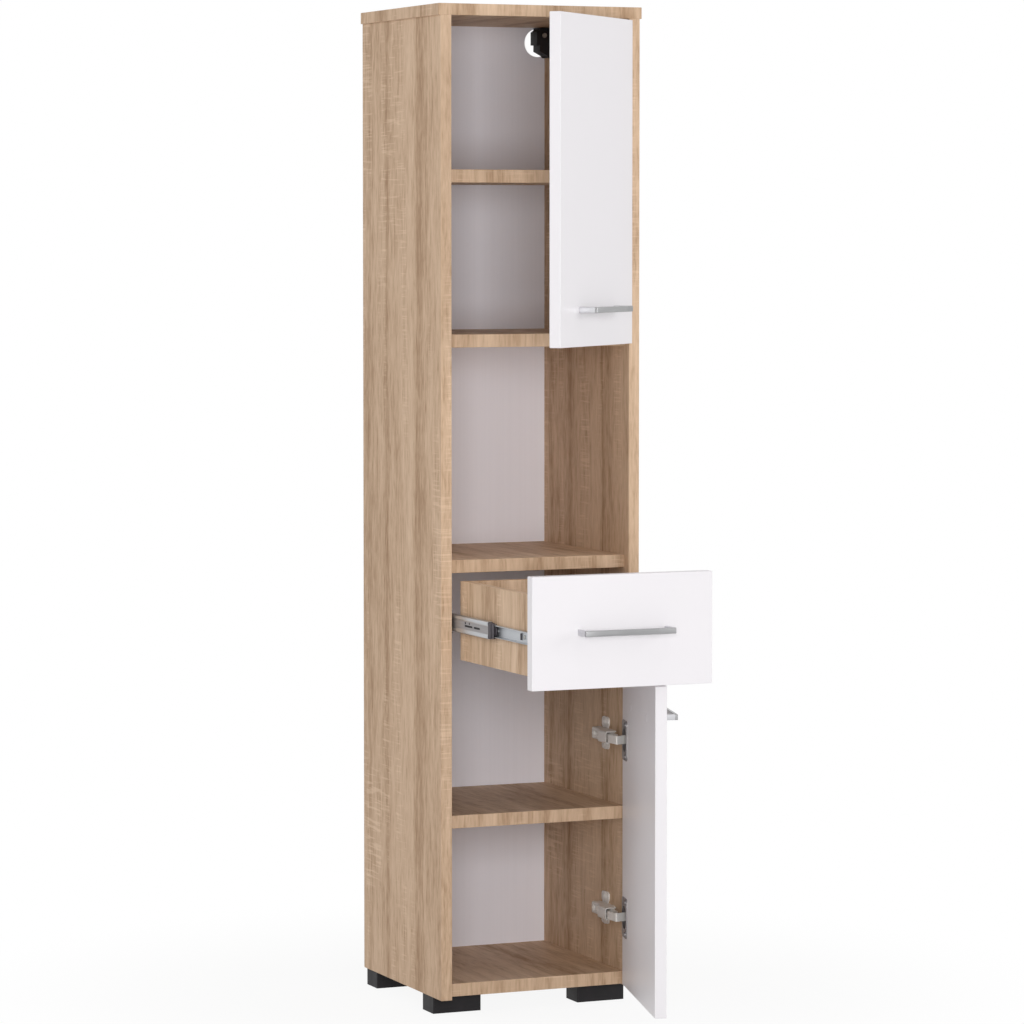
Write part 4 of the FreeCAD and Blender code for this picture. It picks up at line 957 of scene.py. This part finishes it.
# Link leaves, from the link's pin, with the door closed.
LEAF_LINE, LEAF_BEND = ((-13.0, 1.2), (-20.9, 2.2), (-15.6, 26.3)), (0, 2.0, 0)
LEAF_SHEET, LEAF_WIDE, LEAF_EDGE = 1.4, 12.0, 0.4
LINK_HALF = 6.0                         # half a link's height
FRONT_HALF = 132.0                      # half of a front's width
PIN_EDGE, PIN_DEEP = 10.7, 7.0          # a pin, from the hinge edge and below the inner face
LINK_RATIO = 0.77                       # a link turns back by this share of the door's angle


def arm_skin(front, rear, z):
    """A hinge arm: a round-cornered U section carried along Y, whose web steps down to the rear.

    The section runs over the sheet's outer face and back along its inner one. The web's height
    follows a soft step, the walls' feet rise towards the front, and a rib along the web's middle,
    RIB_HIGH * exp(-(RIB_NARROW * a)^2) at the share a of the half width, fades in and out.
    """
    y = np.concatenate([np.linspace(0, ARM_STEP[0] - 2, 9), np.linspace(*ARM_STEP, 9),
                        np.linspace(ARM_STEP[1] + 2, rear - front, 8)])
    top = ARM_HIGH - (ARM_HIGH - ARM_LOW) * soft_step(y, *ARM_STEP)
    foot = ARM_FOOT_FRONT + (ARM_FOOT_REAR - ARM_FOOT_FRONT) * np.clip(y / ARM_NOSE, 0, 1)
    sheet, bend = fitting("arm_sheet"), fitting("arm_bend")
    t = np.linspace(0, math.pi / 2, 6)
    web = np.linspace(1, -1, 9)
    fade = soft_step(y, *RIB_START)[:, None] * (1 - soft_step(y, *RIB_END))[:, None]
    rib = RIB_HIGH * np.exp(-(web * RIB_NARROW) ** 2) * fade

    def face(half, drop, radius):
        """Foot, bend, web and the mirrored bend and foot of one face of the sheet."""
        rise = (top - drop)[:, None]
        bend_across, bend_up = half - radius + radius * np.cos(t), rise - radius + radius * np.sin(t)
        across = np.concatenate([[half], bend_across, web[1:-1] * (half - radius),
                                 -bend_across[::-1], [-half]])
        up = np.concatenate([foot[:, None], bend_up, rise + rib[:, 1:-1], bend_up[:, ::-1],
                             foot[:, None]], axis=1)
        return np.stack([up, np.broadcast_to(across, up.shape)])

    outer = face(ARM_HALF_WIDTH, 0.0, bend)
    inner = face(ARM_HALF_WIDTH - sheet, sheet, bend - sheet)
    up, across = np.concatenate([outer, inner[..., ::-1]], axis=2)
    along = np.broadcast_to((front + y)[:, None], up.shape)
    return loft(np.stack([INNER - up, along, z + across], axis=-1), bent=True)


def plate_skins(front, rear, z):
    """A mounting plate: a winged sheet with a waist, and a raised spine under the arm."""
    w, h = WING_HALF
    half = np.array([(-w, -h), (w, -h), (w, WING_FULL - h), (w - WING_WAIST, WING_NECK - h),
                     (w - WING_WAIST, h - WING_NECK), (w, h - WING_FULL)])
    outline = filleted(np.concatenate([half, -half]), WING_RADII * 2, closed=True)
    wings = pillow(outline, PLATE_SHEET, fitting("plate_round"))
    spine = pillow(ring_box(rear - front, 2 * SPINE_HALF_WIDTH, SPINE_CORNER), PLATE_TALL,
                   fitting("plate_round"))
    return [loft(on_panel(wings, 1, FRONT_Y + WING_CENTRE, z)),
            loft(on_panel(spine, 1, (front + rear) / 2, z))]


def boss_skin(z):
    """A round boss about a wing's screw: a ring raised along a quarter ellipse."""
    t = np.linspace(0, 1.45, 6)
    wide, high = BOSS_TOP + BOSS_SPREAD * np.cos(t), PLATE_SHEET - BOSS_SINK + BOSS_TALL * np.sin(t)
    return loft(on_panel(round_rings(wide, high, BOSS_POINTS), 1, FRONT_Y + WING_CENTRE, z))


def leaf_skin(door, z):
    """The outer leaf of a hinge's link: a bent strip, carried upright and turned with the link.

    The strip's outline is drawn in a little at both ends of the sweep. The link turns back about its
    pin by a fixed share of the door's angle, and then with the door.
    """
    outline = sheet_section(filleted(LEAF_LINE, LEAF_BEND), LEAF_SHEET)[::-1]
    levels = ((LEAF_EDGE, 0.0), (0.0, LEAF_EDGE), (0.0, LEAF_WIDE - LEAF_EDGE), (LEAF_EDGE, LEAF_WIDE))
    rings = levelled(outline, [(inset, z - LEAF_WIDE / 2 + up) for inset, up in levels])
    pin = np.array((FRONT_HALF - PIN_EDGE, INSIDE_Y - PIN_DEEP, 0.0))
    link = pin + turned(rings, -LINK_RATIO * math.radians(opening(door)))
    return loft(opened(link, door), bent=True)


class BuildHinges(bpy.types.Operator):
    """Build the bent arms, winged mounting plates and link leaves of the four hinges"""

    bl_idname = "cabinet.build_hinges"
    bl_label = "Build hinges"

    def execute(self, context):
        arms, plates = [], []
        front, rear = ends_y("hinge_arms")
        for door in DOORS:
            low, high = corners(door + "_door_hinge_links")
            heights = (low[2] + LINK_HALF, high[2] - LINK_HALF)
            for z in heights:
                arms.append(arm_skin(front, rear, z))
                plates += plate_skins(front + ARM_STEP[0], rear + PLATE_PAST, z)
                plates += [boss_skin(z - BOSS_UP), boss_skin(z + BOSS_UP)]
            piece(door + "_link_leaves", together([leaf_skin(door, z) for z in heights]),
                  door + "_links", "nickel")
        piece("bent_hinge_arms", together(arms), "carcass", "nickel", ("hinge_arms",))
        piece("winged_hinge_plates", together(plates), "carcass", "nickel",
              ("hinge_mounting_plates",))
        return {"FINISHED"}


# ---------------------------------------------------------------- stage
CENTRE = (0.0, -0.08, 0.90)   # what the lamps look at
WHITE = (1.0, 1.0, 1.0, 1.0)
SENSOR_WIDE, CLIP_NEAR, CLIP_FAR = 36.0, 0.1, 60.0
FLOOR_HALF = 8.0
SHADOW_ENDS = (0.25, 0.9)     # the floor's shadow fades out between these distances from its middle

# Lamps: azimuth and elevation in degrees, distance and size in metres, whose power each gets, and
# how much of it.
LAMPS = {
    "key": (-21, 2, 4.2, 1.4, "key_power", 1.0),
    "top": (4, 55, 4.0, 1.6, "key_power", 0.18),
    "side": (58, 12, 4.0, 2.0, "side_power", 1.0),
    "fill": (-98, 26, 3.6, 2.2, "fill_power", 1.0),
}


def seen_ray(f):
    """1 where the camera, a reflection or a view through glass looks, and 0 for light on the object."""
    rays = f.add("ShaderNodeLightPath").outputs
    share = f.sum("MAXIMUM", rays["Is Camera Ray"], rays["Is Glossy Ray"])
    return f.sum("MAXIMUM", share, rays["Is Transmission Ray"])


def floor_material(stage):
    """White to the eye, with the object's shadow on it near the object, and pale to the light."""
    f = Finish("floor_white")
    pale = f.add("ShaderNodeBsdfDiffuse", {"Color": (stage.floor_tone,) * 3 + (1.0,)}).outputs[0]
    white = f.add("ShaderNodeEmission", {"Color": WHITE, "Strength": 1.0}).outputs[0]
    away = f.add("ShaderNodeVectorMath", {0: f.place}, operation="LENGTH").outputs["Value"]
    near = f.band(away, *SHADOW_ENDS, stage.floor_shadow, 0.0)
    glow = f.sum("MULTIPLY", seen_ray(f), f.sum("SUBTRACT", 1.0, near))
    mixed = f.add("ShaderNodeMixShader", {0: glow, 1: pale, 2: white}).outputs[0]
    f.add("ShaderNodeOutputMaterial", {"Surface": mixed})
    return f.made


def surroundings(stage):
    """An even world that looks white and lights the object at its own strength."""
    f = Finish("surroundings", "worlds")
    light, white = (f.add("ShaderNodeBackground", {"Color": WHITE, "Strength": strength}).outputs[0]
                    for strength in (stage.surround, 1.0))
    mixed = f.add("ShaderNodeMixShader", {0: seen_ray(f), 1: light, 2: white}).outputs[0]
    f.add("ShaderNodeOutputWorld", {"Surface": mixed})
    return f.made


def lamp(name, azimuth, elevation, distance, size, power):
    """A square lamp that looks at the object's middle."""
    data = bpy.data.lights.new(name, "AREA")
    data.size, data.energy = size, power
    made = bpy.data.objects.new(name, data)
    bpy.context.scene.collection.objects.link(made)
    a, e = math.radians(azimuth), math.radians(elevation)
    made.location = (CENTRE[0] + distance * math.sin(a) * math.cos(e),
                     CENTRE[1] - distance * math.cos(a) * math.cos(e),
                     CENTRE[2] + distance * math.sin(e))
    made.rotation_euler = (math.pi / 2 - e, 0, a)


class BuildStage(bpy.types.Operator):
    """Lay the floor, light the object softly and set up the camera"""

    bl_idname = "cabinet.build_stage"
    bl_label = "Build stage"

    def execute(self, context):
        scene, stage = context.scene, context.scene.cabinet_stage
        corner = np.array([(-1, -1, 0), (1, -1, 0), (1, 1, 0), (-1, 1, 0)]) * (FLOOR_HALF / MM)
        floor = new_object("floor", (corner, [[0, 1, 2, 3]]))
        floor.data.materials.append(floor_material(stage))
        for name, (*place, size, power, share) in LAMPS.items():
            lamp(name, *place, size, getattr(stage, power) * share)
        scene.world = surroundings(stage)
        camera = bpy.data.cameras.new("camera")
        camera.lens, camera.sensor_width = stage.camera_lens, SENSOR_WIDE
        camera.shift_y = stage.camera_shift
        camera.clip_start, camera.clip_end = CLIP_NEAR, CLIP_FAR
        viewer = bpy.data.objects.new("camera", camera)
        viewer.location = stage.camera_place
        viewer.rotation_euler = (math.pi / 2 - stage.camera_dip, 0, -stage.camera_yaw)
        scene.collection.objects.link(viewer)
        scene.camera = viewer
        scene.view_settings.view_transform = "Standard"
        return {"FINISHED"}


class CabinetPanel(bpy.types.Panel):
    """Sidebar panel that lists the cabinet's steps and settings"""

    bl_idname = "VIEW3D_PT_cabinet"
    bl_label = "Cabinet"
    bl_space_type = "VIEW_3D"
    bl_region_type = "UI"
    bl_category = "Cabinet"

    def draw(self, context):
        for step in STEPS:
            self.layout.operator(step.bl_idname)
        for name in SETTINGS:
            group = getattr(context.scene, name)
            for key in group.__annotations__:
                self.layout.prop(group, key)


SETTINGS = {
    "cabinet_colours": CabinetColours,
    "cabinet_fittings": CabinetFittings,
    "cabinet_stage": CabinetStage,
}
STEPS = (FinishBoards, FinishSmallParts, BuildHandles, BuildCaps, BuildSlides, BuildHinges, BuildStage)


def register():
    """Register the settings, the steps and the panel."""
    for name, group in SETTINGS.items():
        bpy.utils.register_class(group)
        setattr(bpy.types.Scene, name, bpy.props.PointerProperty(type=group))
    for step in STEPS + (CabinetPanel,):
        bpy.utils.register_class(step)


def unregister():
    """Take back what register added."""
    for step in (CabinetPanel,) + STEPS[::-1]:
        bpy.utils.unregister_class(step)
    for name, group in SETTINGS.items():
        delattr(bpy.types.Scene, name)
        bpy.utils.unregister_class(group)


def main():
    """Run every step in order."""
    register()
    bpy.ops.cabinet.finish_boards()
    bpy.ops.cabinet.finish_small_parts()
    bpy.ops.cabinet.build_handles()
    bpy.ops.cabinet.build_caps()
    bpy.ops.cabinet.build_slides()
    bpy.ops.cabinet.build_hinges()
    bpy.ops.cabinet.build_stage()


if __name__ == "__main__":
    main()
